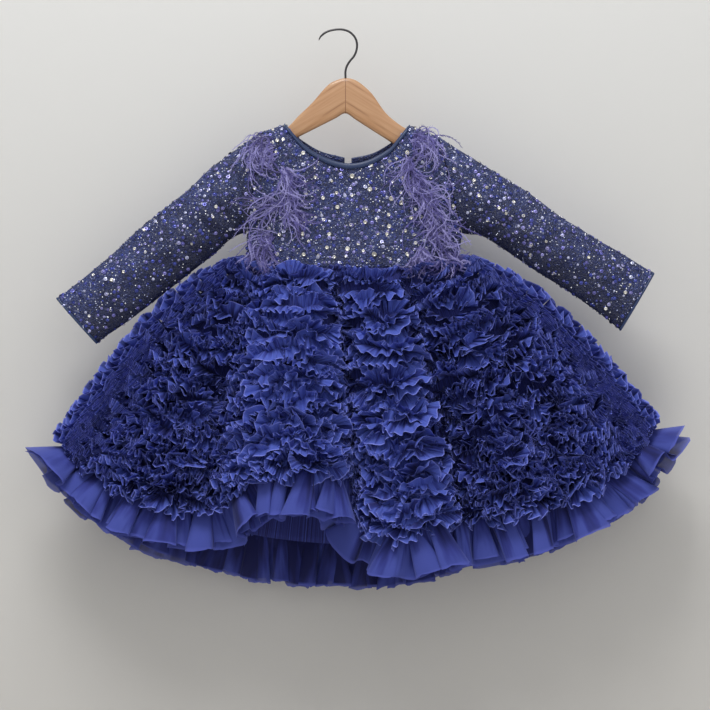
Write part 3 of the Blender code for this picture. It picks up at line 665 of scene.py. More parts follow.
# The beading: small silver and blue seed beads all over, flat royal blue and lilac sequins
# with a bead at their middle, and set rhinestones, each sewn to the net.
BEAD_COLOURS = (
    (0.0, (0.010, 0.012, 0.045)), (0.36, (0.030, 0.040, 0.160)), (0.56, (0.110, 0.130, 0.360)),
    (0.70, (0.400, 0.445, 0.680)), (0.88, (0.880, 0.880, 0.900)),
)
SEQUIN_COLOURS = (
    (0.0, (0.018, 0.026, 0.130)), (0.30, (0.040, 0.060, 0.340)), (0.55, (0.110, 0.105, 0.380)),
    (0.78, (0.240, 0.225, 0.520)), (0.96, (0.480, 0.500, 0.700)),
)
STONE_COLOURS = (
    (0.0, (0.420, 0.400, 0.360)), (0.45, (0.700, 0.670, 0.590)), (0.9, (0.920, 0.900, 0.850)),
)
# Across and drop of the rhinestones that stand out in lines down the front.
STONE_LINES = (
    (91.9, 135.0), (79.0, 147.0), (84.8, 167.4), (73.1, 178.2), (82.9, 195.0), (73.3, 208.2),
    (83.5, 225.0), (77.6, 241.8), (90.1, 255.0), (80.5, 270.6), (96.1, 280.2), (58.9, 157.8),
    (60.8, 202.2), (58.4, 237.0), (-76.7, 132.6), (-45.5, 148.2), (-22.7, 201.0), (-44.3, 229.8),
    (-45.5, 244.2), (-13.1, 245.4), (-45.5, 270.6), (12.0, 176.0), (34.0, 190.0), (-4.0, 214.0),
    (28.0, 232.0), (8.0, 262.0), (40.0, 268.0), (-30.0, 176.0),
)
LINE_STONES_LARGER = 1.35


def scattered(grid, spacing, count, seed, closed=False):
    """Places on a grid's surface, with the direction square to it.

    Places are drawn by area, and of those that fall in one cell of the spacing only the
    first is kept, so that they lie apart as sewn beads do.
    """
    rng = np.random.default_rng(seed)
    if closed:
        grid = np.concatenate([grid, grid[:, :1]], axis=1)
    a, b, c = grid[:-1, :-1], grid[:-1, 1:], grid[1:, :-1]
    square = np.cross(b - a, c - a)
    area = np.linalg.norm(square, axis=-1)
    if closed:
        area = area * (1 - 0.7 * np.clip(0.25 - np.cos(circle(area.shape[1])), 0, 1))
    cells = rng.choice(area.size, count, p=area.ravel() / area.sum())
    part = rng.random((count, 2))
    row, column = np.unravel_index(cells, area.shape)
    d = grid[row + 1, column + 1]
    a, b, c = grid[row, column], grid[row, column + 1], grid[row + 1, column]
    u, v = part[:, :1], part[:, 1:]
    places = a * (1 - u) * (1 - v) + b * u * (1 - v) + c * (1 - u) * v + d * u * v
    _, kept = np.unique(np.floor(places / spacing).astype(int), axis=0, return_index=True)
    kept = np.sort(kept)
    return places[kept], unit(square[row, column])[kept]


def sewn(places, outward, shape, faces, sizes, rng, tilt):
    """Copies of a small shape at each place, turned at random and tilted a little: a point of
    the shape goes along two directions across the surface, and along the outward one."""
    lean = unit(outward + rng.normal(0, tilt, outward.shape))
    aside = unit(np.cross(lean, rng.normal(0, 1, outward.shape)))
    third = np.cross(lean, aside)
    basis = np.stack([aside, third, lean], axis=1)
    points = places[:, None] + np.einsum("kp,npx->nkx", shape, basis) * sizes[:, None, None]
    offset = (np.arange(len(places)) * len(shape))[:, None, None]
    faces = [(part[None] + offset).reshape(-1, part.shape[1]) for part in faces]
    tint = np.repeat(rng.random(len(places)), len(shape))
    return points.reshape(-1, 3), faces, tint


def disc(rings, sides, centre):
    """A round shape from (radius, height) rings, closed with a point at its middle."""
    turn = circle(sides)
    around = np.stack([np.cos(turn), np.sin(turn)], axis=1)
    points = [np.column_stack([around * radius, np.full(sides, high)]) for radius, high in rings]
    points = np.concatenate([*points, [[0, 0, centre]]])
    last = (len(rings) - 1) * sides
    number = np.arange(sides)
    end = np.full(sides, len(points) - 1)
    tip = np.stack([last + number, last + (number + 1) % sides, end], axis=1)
    return points, [quads(len(rings), sides, True), tip] if len(rings) > 1 else [tip]


def shiny(name, colours, metallic, low_rough, high_rough, coat):
    """Glass and foil: colour and polish by each bead's own random number."""
    material, tree, shader = finish(name, Metallic=metallic, Coat_Weight=coat)
    cloud = noise(tree, object_place(tree), 700.0)
    moved = maths(tree, "MULTIPLY_ADD", cloud, 0.3, own_tint(tree))
    place = maths(tree, "SUBTRACT", moved, 0.15)
    rough = ranged(tree, cloud, low_rough, high_rough)
    feed(shader, Base_Color=ramp(tree, place, colours), Roughness=rough)
    return material


def in_front(places, outward):
    """Turns directions to the outer side, by the side of the garment that they are on."""
    return outward * np.sign(places[:, 1] * outward[:, 1] + 1e-9)[:, None]


# Rows: panel, whether it is a tube, and its share of the beads and of the rhinestones.
BEADED_AREAS = (
    ("bodice_front", False, 0.85, 0.3), ("bodice_back_left", False, 0.6, 0.15),
    ("bodice_back_right", False, 0.6, 0.15), ("sleeve_left", True, 0.6, 0.07),
    ("sleeve_right", True, 0.6, 0.07),
)
BEAD_KINDS = (
    ("seed_beads", 4.3, 5400, (0.6, 1.1), ((1.0, 0.0), (0.75, 0.75)), 5, 1.0, 0.3,
     shiny("bead_glass", BEAD_COLOURS, 0.45, 0.12, 0.35, 0.6)),
    ("sequins", 8.6, 2000, (1.3, 2.5), ((1.0, 0.34), (0.36, 0.28), (0.26, 0.62)), 8, 0.72, 0.16,
     shiny("sequin_foil", SEQUIN_COLOURS, 0.55, 0.15, 0.4, 0.4)),
    ("rhinestones", 24.0, 700, (1.6, 2.3), ((1.0, 0.0), (0.92, 0.75), (0.62, 0.45)), 8, 0.35, 0.08,
     shiny("rhinestone_glass", STONE_COLOURS, 0.35, 0.05, 0.2, 0.8)),
)
for kind, spacing, count, size_range, rings, sides, centre, tilt, material in BEAD_KINDS:
    rng = np.random.default_rng(len(kind))
    shape, faces = disc(rings, sides, centre)
    found = []
    for index, (area, closed, share, stones) in enumerate(BEADED_AREAS):
        grid, share = panels[area], stones if kind == "rhinestones" else share
        places, outward = scattered(grid, spacing, int(count * share), index * 7 + sides, closed)
        found.append((places, in_front(places, outward)))
    if kind == "rhinestones":
        front = panels["bodice_front"].reshape(-1, 3)
        lines = np.array(STONE_LINES)
        nearest = np.argmin(
            np.linalg.norm(front[None, :, [0, 2]] - (lines * [1, -1])[:, None], axis=-1), axis=1
        )
        found.append((front[nearest], np.tile([0.0, -1.0, 0.0], (len(lines), 1))))
    places = np.concatenate([places for places, _ in found])
    outward = np.concatenate([outward for _, outward in found])
    sizes = rng.uniform(*size_range, len(places))
    if kind == "rhinestones":
        sizes[-len(lines) :] *= LINE_STONES_LARGER
    points, faces, tint = sewn(places, outward, shape, faces, sizes, rng, tilt)
    piece(kind, points, faces, material, (), tint=tint, smooth=kind == "seed_beads")


# The skirt's foundation: a full circle of dark net, gathered at the waist, that falls in two
# large folds at the front and carries the ruffles.
SKIRT_TOP_DROP, WAIST_LEFT, WAIST_RIGHT = 285.3, -112.0, 141.0
HEM_LEFT, HEM_RIGHT = -322.7, 361.3
WAIST_DEPTH, HEM_FRONT_DEPTH, HEM_BACK_DEPTH = 24.0, 40.0, 34.0
FRONT_HEM = (
    (-322.7, 499.8, -112.0), (-289.0, 528.0, -110.5), (-236.0, 555.0, -108.0),
    (-195.5, 563.0, -105.0), (-160.0, 564.0, -100.0), (-134.0, 560.0, -93.0),
    (-110.0, 540.0, -78.0), (-85.0, 526.0, -62.0), (-46.7, 523.0, -42.0),
    (-7.0, 528.0, -18.0), (11.0, 540.0, -12.0), (25.0, 572.0, -6.0), (41.0, 588.0, 4.0),
    (77.0, 599.0, 30.0), (113.0, 585.0, 52.0), (155.0, 584.0, 78.0), (194.5, 574.0, 98.0),
    (245.0, 562.0, 115.0), (299.0, 540.0, 129.0), (341.0, 509.0, 137.0),
    (361.3, 481.8, 141.0),
)
BACK_HEM = (
    (-322.7, 499.8, -112.0), (-277.0, 542.0, -95.0), (-217.0, 578.0, -76.0),
    (-157.0, 594.0, -56.0), (-97.0, 609.0, -34.0), (-37.0, 617.0, -10.0),
    (19.3, 619.0, 14.0), (83.0, 611.0, 38.0), (143.0, 599.0, 62.0), (203.0, 585.0, 84.0),
    (263.0, 563.0, 106.0), (311.0, 535.0, 124.0), (361.3, 481.8, 141.0),
)
FRONT_FOLDS = (
    (-290.0, -215.0, -150.0, 12.0), (-146.0, -28.0, 12.0, 52.0), (22.0, 104.0, 138.0, 42.0),
    (146.0, 205.0, 250.0, 12.0), (252.0, 292.0, 330.0, 9.0),
)
BACK_FOLDS = (
    (-270.0, -200.0, -130.0, 9.0), (-110.0, -30.0, 50.0, 11.0), (70.0, 140.0, 210.0, 10.0),
    (225.0, 275.0, 325.0, 8.0),
)
FOLD_GROWTH, FLARE_AT_SIDES, FLARE_AT_CENTRE = 0.6, 1.5, 1.15
BASE_ROWS, BASE_COLUMNS, BASE_THICKNESS, SKIRT_AREA = 26, 240, 0.001, 0.430
# The tulle's colours run from painted shade at its root through its lit colour to a painted highlight at
# its free edge.
TULLE_SHADED, TULLE_MID = (0.016, 0.016, 0.090), (0.036, 0.048, 0.260)
TULLE_LIT, TULLE_EDGE_HIGHLIGHT = (0.080, 0.116, 0.470), (0.205, 0.240, 0.720)


def fold_height(across_hem, folds):
    """How far the cloth stands forward: each fold rises and falls as a quarter sine."""
    height = np.zeros_like(across_hem)
    for start, crest, end, size in folds:
        rise = np.clip((across_hem - start) / (crest - start), 0, 1)
        fall = np.clip((end - across_hem) / (end - crest), 0, 1)
        height += size * np.sin(rise * math.pi / 2) * np.sin(fall * math.pi / 2)
    return height


def skirt_point(turn, down, folded=1.0):
    """A point of the skirt's outer face, in millimetres.

    Turn runs from 0 at the left side round the front to 0.5 at the right side, and back
    round the back to 1. Down runs from 0 at the waist to 1 at the hem. A line down the
    cloth leaves the waist flat and steepens: outward share = down (1.45 - 0.45 down), and
    its drop is that share to a power that is greatest at the sides.
    """
    angle = 2 * math.pi * turn
    side, front = -np.cos(angle), np.sin(angle) >= 0
    hem_across = (HEM_LEFT + HEM_RIGHT) / 2 + side * (HEM_RIGHT - HEM_LEFT) / 2
    front_table, back_table = np.array(FRONT_HEM), np.array(BACK_HEM)
    hem_drop, waist_across = (
        np.where(
            front,
            curve_through(hem_across, front_table[:, 0], front_table[:, column]),
            curve_through(hem_across, back_table[:, 0], back_table[:, column]),
        )
        for column in (1, 2)
    )
    out = down * (1.45 - 0.45 * down)
    power = FLARE_AT_CENTRE + (FLARE_AT_SIDES - FLARE_AT_CENTRE) * side**4
    waist_side = 2 * (waist_across - WAIST_LEFT) / (WAIST_RIGHT - WAIST_LEFT) - 1
    flat_waist = 1 - np.clip(np.abs(waist_side), 0, 1) ** 4
    hem_depth = np.where(front, HEM_FRONT_DEPTH, HEM_BACK_DEPTH) * (1 - side**4)
    folds = np.where(
        front, fold_height(hem_across, FRONT_FOLDS), fold_height(hem_across, BACK_FOLDS)
    )
    depth = WAIST_DEPTH * flat_waist * (1 - out) + hem_depth * out
    depth = depth + folded * folds * down**FOLD_GROWTH
    across = waist_across + (hem_across - waist_across) * out
    drop = SKIRT_TOP_DROP + (hem_drop - SKIRT_TOP_DROP) * out**power
    return np.stack([across, np.where(front, -depth, depth), -drop], axis=-1)


def tulle(name, thinnest, pleats_per_mm, pleat_depth, shaded, mid, lit, edge):
    """Gathered net with painted light and shade: darker at its root, where the gathers lie dense
    and in painted shade, paler on the crests of its pleats with painted light, and palest along
    its raw free edge with a painted highlight, by the cloth's own v; each ruffle also has its
    own shade, a random tone with painted light and shade."""
    material, tree, shader = finish(
        name, Specular_IOR_Level=0.2, Sheen_Weight=0.15, Sheen_Roughness=0.5
    )
    shader.inputs["Sheen Tint"].default_value = (0.45, 0.5, 1.0, 1.0)
    cloth = cloth_place(tree)
    place = result(tree, "SeparateXYZ", {"Vector": cloth}, "Y")
    pleats = noise(tree, mapped(tree, cloth, pleats_per_mm, 0.7, 1.0), 1.0)
    pleats = ranged(tree, pleats, 0.15, 0.85, 0.3, 0.7)
    # Painted light and shade: the pleat streaks paint lit crests, and the v share paints shade at the
    # root and light towards the free edge, over each ruffle's own tone.
    tone_and_painted_light = maths(tree, "MULTIPLY_ADD", own_tint(tree), 0.35, pleats)
    moved = maths(tree, "MULTIPLY_ADD", place, 0.40, tone_and_painted_light)
    body = ramp(tree, moved, ((0.40, shaded), (0.78, mid), (1.0, lit)))
    # A painted highlight along the free edge.
    painted_edge_highlight = ranged(tree, place, 0.0, 1.0, 0.94, 0.985)
    threads_at = {"Vector": mapped(tree, cloth, 1.1, 30.0, 1.0), "Scale": 1.0}
    threads = bumps(tree, result(tree, "TexVoronoi", threads_at, "Distance"), 0.25, 0.0003)
    feed(
        shader, Base_Color=mixed(tree, painted_edge_highlight, body, (*edge, 1.0)),
        Roughness=ranged(tree, pleats, 0.75, 0.95),
        Normal=bumps(tree, pleats, pleat_depth, 0.0016, Normal=threads),
    )
    if thinnest < 1:
        feed(shader, Alpha=ranged(tree, place, 1.0, thinnest))
    return material


ruffle_net = tulle("ruffle_tulle", 1, 1.0, 0.9, TULLE_SHADED, TULLE_MID, TULLE_LIT, TULLE_EDGE_HIGHLIGHT)
turns = np.arange(BASE_COLUMNS) / BASE_COLUMNS
grid = np.array([skirt_point(turns, down) for down in np.linspace(0, 1, BASE_ROWS)])
uv = paired(np.arange(BASE_COLUMNS) * 5.0, np.full(BASE_ROWS, 0.1)[:, None])
obj = piece(
    "skirt_foundation", grid, quads(BASE_ROWS, BASE_COLUMNS, True, True), ruffle_net,
    ["skirt_base"], uv, np.full(uv.shape[:2], 0.2),
)
cloth_wall(obj, BASE_THICKNESS)


# The ruffles: nine tiers of tulle strips, gathered along one edge so tightly that their free
# edge curls back and forth, and sewn round the skirt. On the crests of the two large folds
# they lie over as petals, and elsewhere they stand out as close loops.
TIERS, FIRST_TIER, LAST_TIER = 9, 0.07, 0.945
TIER_HEIGHT_TOP, TIER_HEIGHT = 17.0, 29.0
LOOP_LENGTH, PETAL_LENGTH, SAMPLES_PER_WAVE = 4.9, 5.0, 6
# The mean height of the ragged strips, as a share of the tier's.
# Rows: tilt from straight out, in degrees, down, of loops and of petals; share of the full
# height; how far below the tier's seam it is sewn, as a share of the tiers' spacing, under
# loops and under petals; whether it goes all round.
STRIPS = (
    (-32, -64, 0.90, -0.42, -0.20, True), (-12, -30, 1.0, -0.21, -0.10, False),
    (4, 6, 1.02, 0.0, 0.0, True), (16, 40, 1.0, 0.21, 0.10, False),
    (36, 68, 0.95, 0.40, 0.20, True),
)
ARCH = 0.62
# The turns between which a strip that doesn't go all round crosses the front, and the least
# and most that a seam lies down the skirt.
FRONT_TURNS, SEAM_LIMITS = (-0.03, 0.53), (0.012, 0.985)
# The two large folds, and the height of the lower one.
LARGE_FOLDS, LARGE_FOLD_HEIGHT = FRONT_FOLDS[1:3], 42.0
# Rows: where a dark valley beside a large fold meets the hem, across, and its half width.
VALLEYS = ((16.0, 24.0), (142.0, 19.0))
STRIP_ROWS = (0.0, 0.3, 0.62, 0.88, 1.0)
SPACING = (LAST_TIER - FIRST_TIER) / (TIERS - 1)
RING_SAMPLES, SMOOTHED_OVER = 6001, 16


def smooth_noise(at, step, rng, low, high):
    """A smooth random curve: cubics through random values that lie a step apart."""
    knots = np.arange(0, at.max() + 3 * step, step)
    return curve_through(at, knots, rng.uniform(low, high, len(knots)))


def ring_along(level, start, end, length_of_wave, samples, rng):
    """Turns along the skirt at one level that part it into waves of the given length.

    The wave's phase is the length along the ring over the local wave length, with a random
    drift, and the turns are spaced evenly in phase.
    """
    fine = np.linspace(start, end, RING_SAMPLES)
    ring = skirt_point(np.mod(fine, 1.0), level)
    run = length_along(ring)
    local = length_of_wave(fine, ring) * smooth_noise(run, 26.0, rng, 0.82, 1.22)
    phase = np.concatenate([[0], np.cumsum(np.diff(run) / local[1:])])
    whole = max(1, round(phase[-1]))
    phase = phase * whole / phase[-1]
    count = whole * samples
    at = np.linspace(0, whole, count + 1)
    return np.interp(at, phase, fine), at * 2 * math.pi, np.interp(at, phase, run)


def skirt_frame(turns, level):
    """Root, outward, downward and along directions at each turn of a seam, which may curve;
    they are smoothed along it so that a ruffle bridges a crease."""
    root = skirt_point(np.mod(turns, 1.0), level)
    low, high = np.minimum(level + 0.02, 1.0), np.maximum(level - 0.02, 0.0)
    downward = skirt_point(np.mod(turns, 1.0), low) - skirt_point(np.mod(turns, 1.0), high)
    ends = SMOOTHED_OVER + 1
    window = np.hanning(2 * SMOOTHED_OVER + 1)
    window = window / window.sum()
    smoothed = []
    for direction in (unit(np.gradient(root, axis=0)), unit(downward)):
        padded = np.concatenate([direction[-ends:-1], direction, direction[1:ends]])
        axes = [np.convolve(padded[:, axis], window, "valid") for axis in range(3)]
        smoothed.append(unit(np.stack(axes, axis=-1)))
    along, downward = smoothed
    outward = unit(np.cross(downward, along))
    return root, outward, np.cross(along, outward), along


def petal_share(turns):
    """1 on the crests of the two large folds at the front, 0 elsewhere; how far across its
    fold each place lies, from -1 at the left foot to 1 at the right; and 1 in the valleys."""
    angle = 2 * math.pi * turns
    hem_across = (HEM_LEFT + HEM_RIGHT) / 2 - np.cos(angle) * (HEM_RIGHT - HEM_LEFT) / 2
    height = fold_height(hem_across, LARGE_FOLDS) / LARGE_FOLD_HEIGHT
    across = np.zeros_like(hem_across)
    for start, _, end, _ in LARGE_FOLDS:
        within = (2 * hem_across - start - end) / (end - start)
        across = np.where(np.abs(within) < 1, within, across)
    valley = sum(np.exp(-(((hem_across - place) / wide) ** 2)) for place, wide in VALLEYS)
    front = np.sin(angle) >= 0
    return np.where(front, np.clip(height * 1.6 - 0.25, 0, 1), 0), across, valley * front


def wave_lengths(fine, ring):
    """Wave lengths; waves lie closer round the sides, where the ring turns sharply."""
    sides = np.abs(np.cos(2 * math.pi * fine)) ** 14
    return (LOOP_LENGTH + (PETAL_LENGTH - LOOP_LENGTH) * petal_share(fine)[0]) * (1 - 0.66 * sides)


def ruffle_strip(level, sewn_below, tilts, height, whole, rng):
    """One gathered strip: rows from its sewn edge to its free edge.

    At a share v of the height, a point lies out from the root along the tilted direction,
    is swung to and fro by sine(phase), across the strip or aslant, and along the ring by
    minus sine(2 phase), so that the free edge folds back over itself. The whole strip also
    wanders, more towards its free edge. The seam wavers, and under petals it is an arch, so
    that their pleats fan out.
    """
    start, end = (0.0, 1.0) if whole else FRONT_TURNS
    middle = np.clip(level + SPACING * sewn_below[0], *SEAM_LIMITS)
    turns, phase, run = ring_along(middle, start, end, wave_lengths, SAMPLES_PER_WAVE, rng)
    if whole:
        turns, phase, run = turns[:-1], phase[:-1], run[:-1]
    petal, across, valley = petal_share(turns)
    run = phase / (2 * math.pi) * LOOP_LENGTH
    below = sewn_below[0] + (sewn_below[1] - sewn_below[0]) * petal
    arch = -np.sign(sewn_below[1]) * ARCH * petal * np.abs(across) ** 3
    waver = smooth_noise(run, 20.0, rng, -0.27, 0.27)
    sides = np.abs(np.cos(2 * math.pi * turns)) ** 7
    calm = 1 - 0.88 * sides
    seam = np.clip(level + SPACING * (below + arch + waver * calm), *SEAM_LIMITS)
    root, outward, downward, along = skirt_frame(turns, seam)
    tilt = (tilts[0] + (tilts[1] - tilts[0]) * petal) * (1 - 0.9 * sides)
    lean = np.radians(tilt) + smooth_noise(run, 13.0, rng, -0.5, 0.5) * calm
    fan = 0.7 * petal * across + smooth_noise(run, 11.0, rng, -0.55, 0.55) * calm
    tall = height * (1 + smooth_noise(run, 8.0, rng, -0.34, 0.2) * calm) * (1 - 0.72 * valley)
    swing = (4.6 - 1.6 * petal + 2.8 * sides) * (1 + smooth_noise(run, 6.0, rng, -0.55, 0.45) * calm)
    back = (0.9 - 0.4 * petal) * smooth_noise(run, 7.0, rng, 0.4, 1.4)
    twist = (1.2 - 0.3 * petal) * smooth_noise(run, 12.0, rng, -1.0, 1.0) * calm
    wander = (6.0 - 1.5 * petal) * smooth_noise(run, 8.0, rng, -1.0, 1.0) * calm
    droop = (1.0 + 2.0 * petal) * smooth_noise(run, 20.0, rng, 0.3, 1.5)
    share = np.array(STRIP_ROWS)[:, None, None]
    lean, fan, tall, swing, back, twist, drift, droop, beat = (
        part[None, :, None]
        for part in (lean, fan, tall, swing, back, twist, wander, droop, phase)
    )
    up = unit(outward * np.cos(lean) + downward * np.sin(lean) + along * fan)
    cross = unit(downward * np.cos(lean) - outward * np.sin(lean))
    swung = cross * np.cos(twist) + along * np.sin(twist)
    points = root + up * tall * share + cross * drift * share**1.3
    points = points + swung * swing * np.sin(beat) * share**0.5
    points = points - along * back * np.sin(2 * beat) * share**1.3
    points = points + (downward * 0.8 - outward * 0.2) * droop * share**2.2
    # Painted light and shade over a random tone: lighter on the crests of the two large folds, darker in
    # the valleys beside them, and a little lighter round the sides.
    tone_and_painted_light = smooth_noise(run, 7.0, rng, -0.2, 0.9) + 0.42 * petal + 0.2 * sides - 0.7 * valley
    return points, paired(run, share[..., 0]), tone_and_painted_light, whole


def gathered(name, strips, flip, net, node_name):
    """One piece from strips: for each its points, its cloth places, the random tone and painted
    light and shade of its columns, and whether it goes all round."""
    faces, count = [], 0
    for points, *_, whole in strips:
        faces.append(quads(*points.shape[:2], whole, flip) + count)
        count += points.size // 3
    points, uv, tint = (
        np.concatenate(parts)
        for parts in (
            [strip[0].reshape(-1, 3) for strip in strips],
            [strip[1].reshape(-1, 2) for strip in strips],
            [np.tile(strip[2], len(strip[0])) for strip in strips],
        )
    )
    return piece(name, points, faces, net, [node_name], uv, tint)


for tier in range(TIERS):
    rng = np.random.default_rng(100 + tier)
    grown = min(1.0, 0.25 + tier / 2.6)
    height = TIER_HEIGHT_TOP + (TIER_HEIGHT - TIER_HEIGHT_TOP) * grown
    level = FIRST_TIER + SPACING * tier
    strips = [
        ruffle_strip(level, (under_loops, under_petals), (loops, petals), height * share, whole, rng)
        for loops, petals, share, under_loops, under_petals, whole in STRIPS
    ]
    number = str(tier + 1)
    obj = gathered(
        "ruffles_" + number, strips, False, ruffle_net, "ruffle_tier_" + number
    )


# The hem frill: a wide strip of crisp sheer tulle in broad soft folds below the last tier,
# doubled, with a raw lower edge that is cut finely uneven.
# The frill's colours run from painted shade at its root through its lit colour to a painted highlight at
# its free edge.
FRILL_SHADED, FRILL_MID = (0.012, 0.014, 0.085), (0.034, 0.044, 0.240)
FRILL_LIT, FRILL_EDGE_HIGHLIGHT = (0.060, 0.080, 0.345), (0.080, 0.100, 0.430)
# Rows: length of a fold along the hem, depth, swing of a fold, how far it hangs behind.
FRILL_LAYERS = (
    (46.0, 60.0, 15.0, 2.0), (33.0, 55.0, 11.0, -5.0),
)
FRILL_SAMPLES = 26
FRILL_ROWS = (0.0, 0.06, 0.16, 0.3, 0.45, 0.6, 0.74, 0.86, 0.95, 1.0)

frill_net = tulle("frill_tulle", 0.88, 0.20, 0.15, FRILL_SHADED, FRILL_MID, FRILL_LIT, FRILL_EDGE_HIGHLIGHT)
rng = np.random.default_rng(31)
frills = []
for fold_length, depth, swing_size, lift in FRILL_LAYERS:
    turns, phase, run = ring_along(1.0, 0.0, 1.0, lambda fine, ring: fold_length, FRILL_SAMPLES, rng)
    turns, phase, run = turns[:-1], phase[:-1], run[:-1]
    root, outward, downward, along = skirt_frame(turns, 1.0)
    side = np.abs(np.cos(2 * math.pi * turns))[:, None] ** 8
    fall = unit(downward * (1 - 0.45 * side) + outward * 0.8 * side)
    lean = unit(outward - fall * np.sum(outward * fall, axis=1, keepdims=True))
    ragged = rng.uniform(-0.7, 0.7, len(turns)) + smooth_noise(run, 4.0, rng, -2.2, 2.2)
    tall = depth * smooth_noise(run, 30.0, rng, 0.84, 1.0)
    swing = swing_size * smooth_noise(run, 22.0, rng, 0.5, 1.3)
    back = fold_length * 0.24 * smooth_noise(run, 22.0, rng, 0.3, 1.3)
    aslant = smooth_noise(run, 30.0, rng, -13.0, 13.0)
    pleat = smooth_noise(run, 2.6, rng, -1.0, 1.0)
    share = np.array(FRILL_ROWS)[:, None, None]
    tall, swing, back, aslant, pleat, beat, ragged = (
        part[None, :, None] for part in (tall, swing, back, aslant, pleat, phase, ragged)
    )
    reach = tall * share + ragged * (share > 0.99)
    out = swing * np.sin(beat) * share**0.7 + pleat * 1.2 * (1 - share) * share**0.3
    points = root + fall * reach + lean * (out + 1.5 + lift * share)
    points = points + along * (aslant * share**1.2 - back * np.sin(2 * beat) * share**0.7)
    # Painted shade: the back half of the frill is darker, as it lies in shade.
    behind = np.clip(-4 * np.sin(2 * math.pi * turns), 0, 1)
    tone_and_painted_light = smooth_noise(run, 9.0, rng, -0.5, 1.2) - 0.9 * behind
    frills.append((points, paired(run, share[..., 0]), tone_and_painted_light, True))
obj = gathered("hem_frill_tulle", frills, True, frill_net, "hem_frill")


# The feather trims: bundles of fine curled fronds sewn down two lines of the bodice's front,
# from each shoulder to the waist, each a thin quill with barbs on both sides.
# Rows: across and drop of a bundle's root; the way its fronds set out, in degrees from the
# right and up, and their spread; their length.
LEFT_BUNDLES = (
    (-88, 131, 190, 34, 36), (-82, 141, 200, 45, 46), (-94, 143, 175, 35, 44),
    (-69, 170, 300, 30, 52), (-61, 191, 280, 45, 42), (-73, 212, 170, 35, 54),
    (-64, 221, 330, 40, 38), (-82, 245, 215, 45, 48), (-94, 262, 240, 50, 36),
)
RIGHT_BUNDLES = (
    (87, 130, 345, 50, 42), (93, 134, 10, 35, 52), (81, 155, 255, 35, 50),
    (90, 177, 300, 40, 48), (96, 197, 330, 35, 56), (102, 218, 310, 40, 46),
    (107, 242, 340, 40, 46), (96, 263, 250, 50, 34), (120, 269, 350, 45, 38),
)
FRONDS_EACH, FROND_STEPS, ROOT_OUT = 30, 16, 1.2
# Bundles above the first drop lie over the shoulder, and no frond reaches far past the second.
SHOULDER_DROP, TRIM_END_DROP = 150, 296.0
PLUME_DARK, PLUME_MID, PLUME_PALE = (0.045, 0.038, 0.150), (0.140, 0.124, 0.370), (0.310, 0.290, 0.590)

plume, tree, shader = finish(
    "plume", Roughness=0.8, Sheen_Weight=0.3, Sheen_Roughness=0.4, Specular_IOR_Level=0.3
)
cloud = noise(tree, object_place(tree), 90.0, 3.0)
moved = maths(tree, "MULTIPLY_ADD", cloud, 0.6, own_tint(tree))
plumes = ramp(tree, moved, ((0.35, PLUME_DARK), (0.75, PLUME_MID), (1.0, PLUME_PALE)))
feed(shader, Base_Color=plumes)

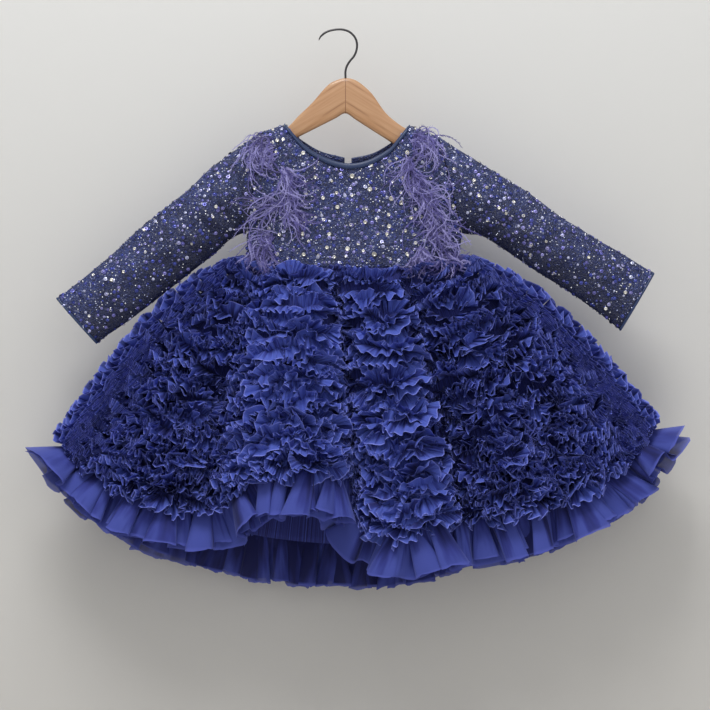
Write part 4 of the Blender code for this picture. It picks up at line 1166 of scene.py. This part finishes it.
for name, bundles, seed in (
    ("feather_trim_left", LEFT_BUNDLES, 5), ("feather_trim_right", RIGHT_BUNDLES, 6),
):
    rng = np.random.default_rng(seed)
    table = np.repeat(np.array(bundles, float), FRONDS_EACH, axis=0)
    fronds = len(table)
    front = panels["bodice_front"].reshape(-1, 3)
    wanted = table[:, :2] * [1, -1] + rng.normal(0, 2.6, (fronds, 2))
    nearest = np.argmin(np.linalg.norm(front[None, :, [0, 2]] - wanted[:, None], axis=-1), axis=1)
    root = front[nearest] + [0, -ROOT_OUT, 0]
    # Rise is the angle above level on the side that the frond sets out to; it turns over and
    # falls as it bends.
    way = np.radians(table[:, 2] + rng.normal(0, 0.6, fronds) * table[:, 3])
    toward = np.where(np.cos(way) >= 0, 1.0, -1.0)
    rise = np.arctan2(np.sin(way), np.abs(np.cos(way)))
    bend = -rng.uniform(0.3, 2.6, fronds) * np.where(rng.random(fronds) < 0.85, 1.0, -0.8)
    high = table[:, 1] < SHOULDER_DROP
    bend = np.where(high, -np.abs(bend) - 0.9, bend)
    length = table[:, 4] * rng.uniform(0.5, 1.35, fronds) * np.where(high, 0.85, 1.0)
    room = np.clip(root[:, 2] + TRIM_END_DROP, 14, 80)
    length = np.minimum(length, room * 1.35)
    t = np.linspace(0, 1, FROND_STEPS)[:, None]
    wave = rng.normal(0, 0.5, fronds) * np.sin(t * rng.uniform(4, 10, fronds))
    angle = rise + bend * t**1.3 + wave
    step = length / (FROND_STEPS - 1)
    across = np.cumsum(np.cos(angle) * toward * step, axis=0) - np.cos(angle[:1]) * toward * step
    lift = np.cumsum(np.sin(angle) * step, axis=0) - np.sin(angle[:1]) * step
    forward = rng.uniform(3, 13, fronds) * np.sin(t * math.pi * 0.62) + rng.uniform(-3, 4, fronds) * t
    path = root + np.stack([across, -forward, lift], axis=-1)
    along = unit(np.gradient(path, axis=0))
    aside = unit(np.cross(along, [0.0, -1.0, 0.0]))
    thin = (0.40 * (1 - t) ** 0.5 + 0.12)[..., None]
    stem = np.stack([path - aside * thin, path + aside * thin], axis=0)
    index = np.arange(FROND_STEPS * fronds).reshape(FROND_STEPS, fronds)
    far = index + FROND_STEPS * fronds
    stem_faces = np.stack([index[:-1], far[:-1], far[1:], index[1:]], axis=-1).reshape(-1, 4)
    barbs, barb_faces = [], []
    count = 2 * FROND_STEPS * fronds
    for side in (-1, 1, -1, 1):
        slide = rng.uniform(0, 1, (FROND_STEPS - 1, fronds, 1))
        base = path[:-1] * (1 - slide) + path[1:] * slide
        out = unit(
            along[:-1] * rng.uniform(1.0, 2.6, slide.shape) + aside[:-1] * side
            + rng.normal(0, 0.3, base.shape)
        )
        reach = rng.uniform(1.8, 5.0, slide.shape) * (1.1 - 0.5 * t[:-1, :, None])
        tip = base + out * reach
        middle = base + out * reach * 0.55 + [0, 0, -0.3]
        wide = aside[:-1] * 0.22
        block = np.stack([base - wide, base + wide, middle + wide * 0.6, tip], axis=2)
        number = np.arange((FROND_STEPS - 1) * fronds)[:, None] * 4 + count
        barbs.append(block.reshape(-1, 3))
        barb_faces.append(np.concatenate([number, number + 1, number + 2, number + 3], axis=1))
        count += (FROND_STEPS - 1) * fronds * 4
    own = rng.random(fronds) * 0.8 + 0.1
    tint = np.concatenate(
        [np.tile(own, 2 * FROND_STEPS)] + [np.repeat(np.tile(own, FROND_STEPS - 1), 4)] * 4
    )
    piece(
        name + "_plumes", np.concatenate([stem.reshape(-1, 3), *barbs]), [stem_faces, *barb_faces],
        plume, [name], tint=tint,
    )
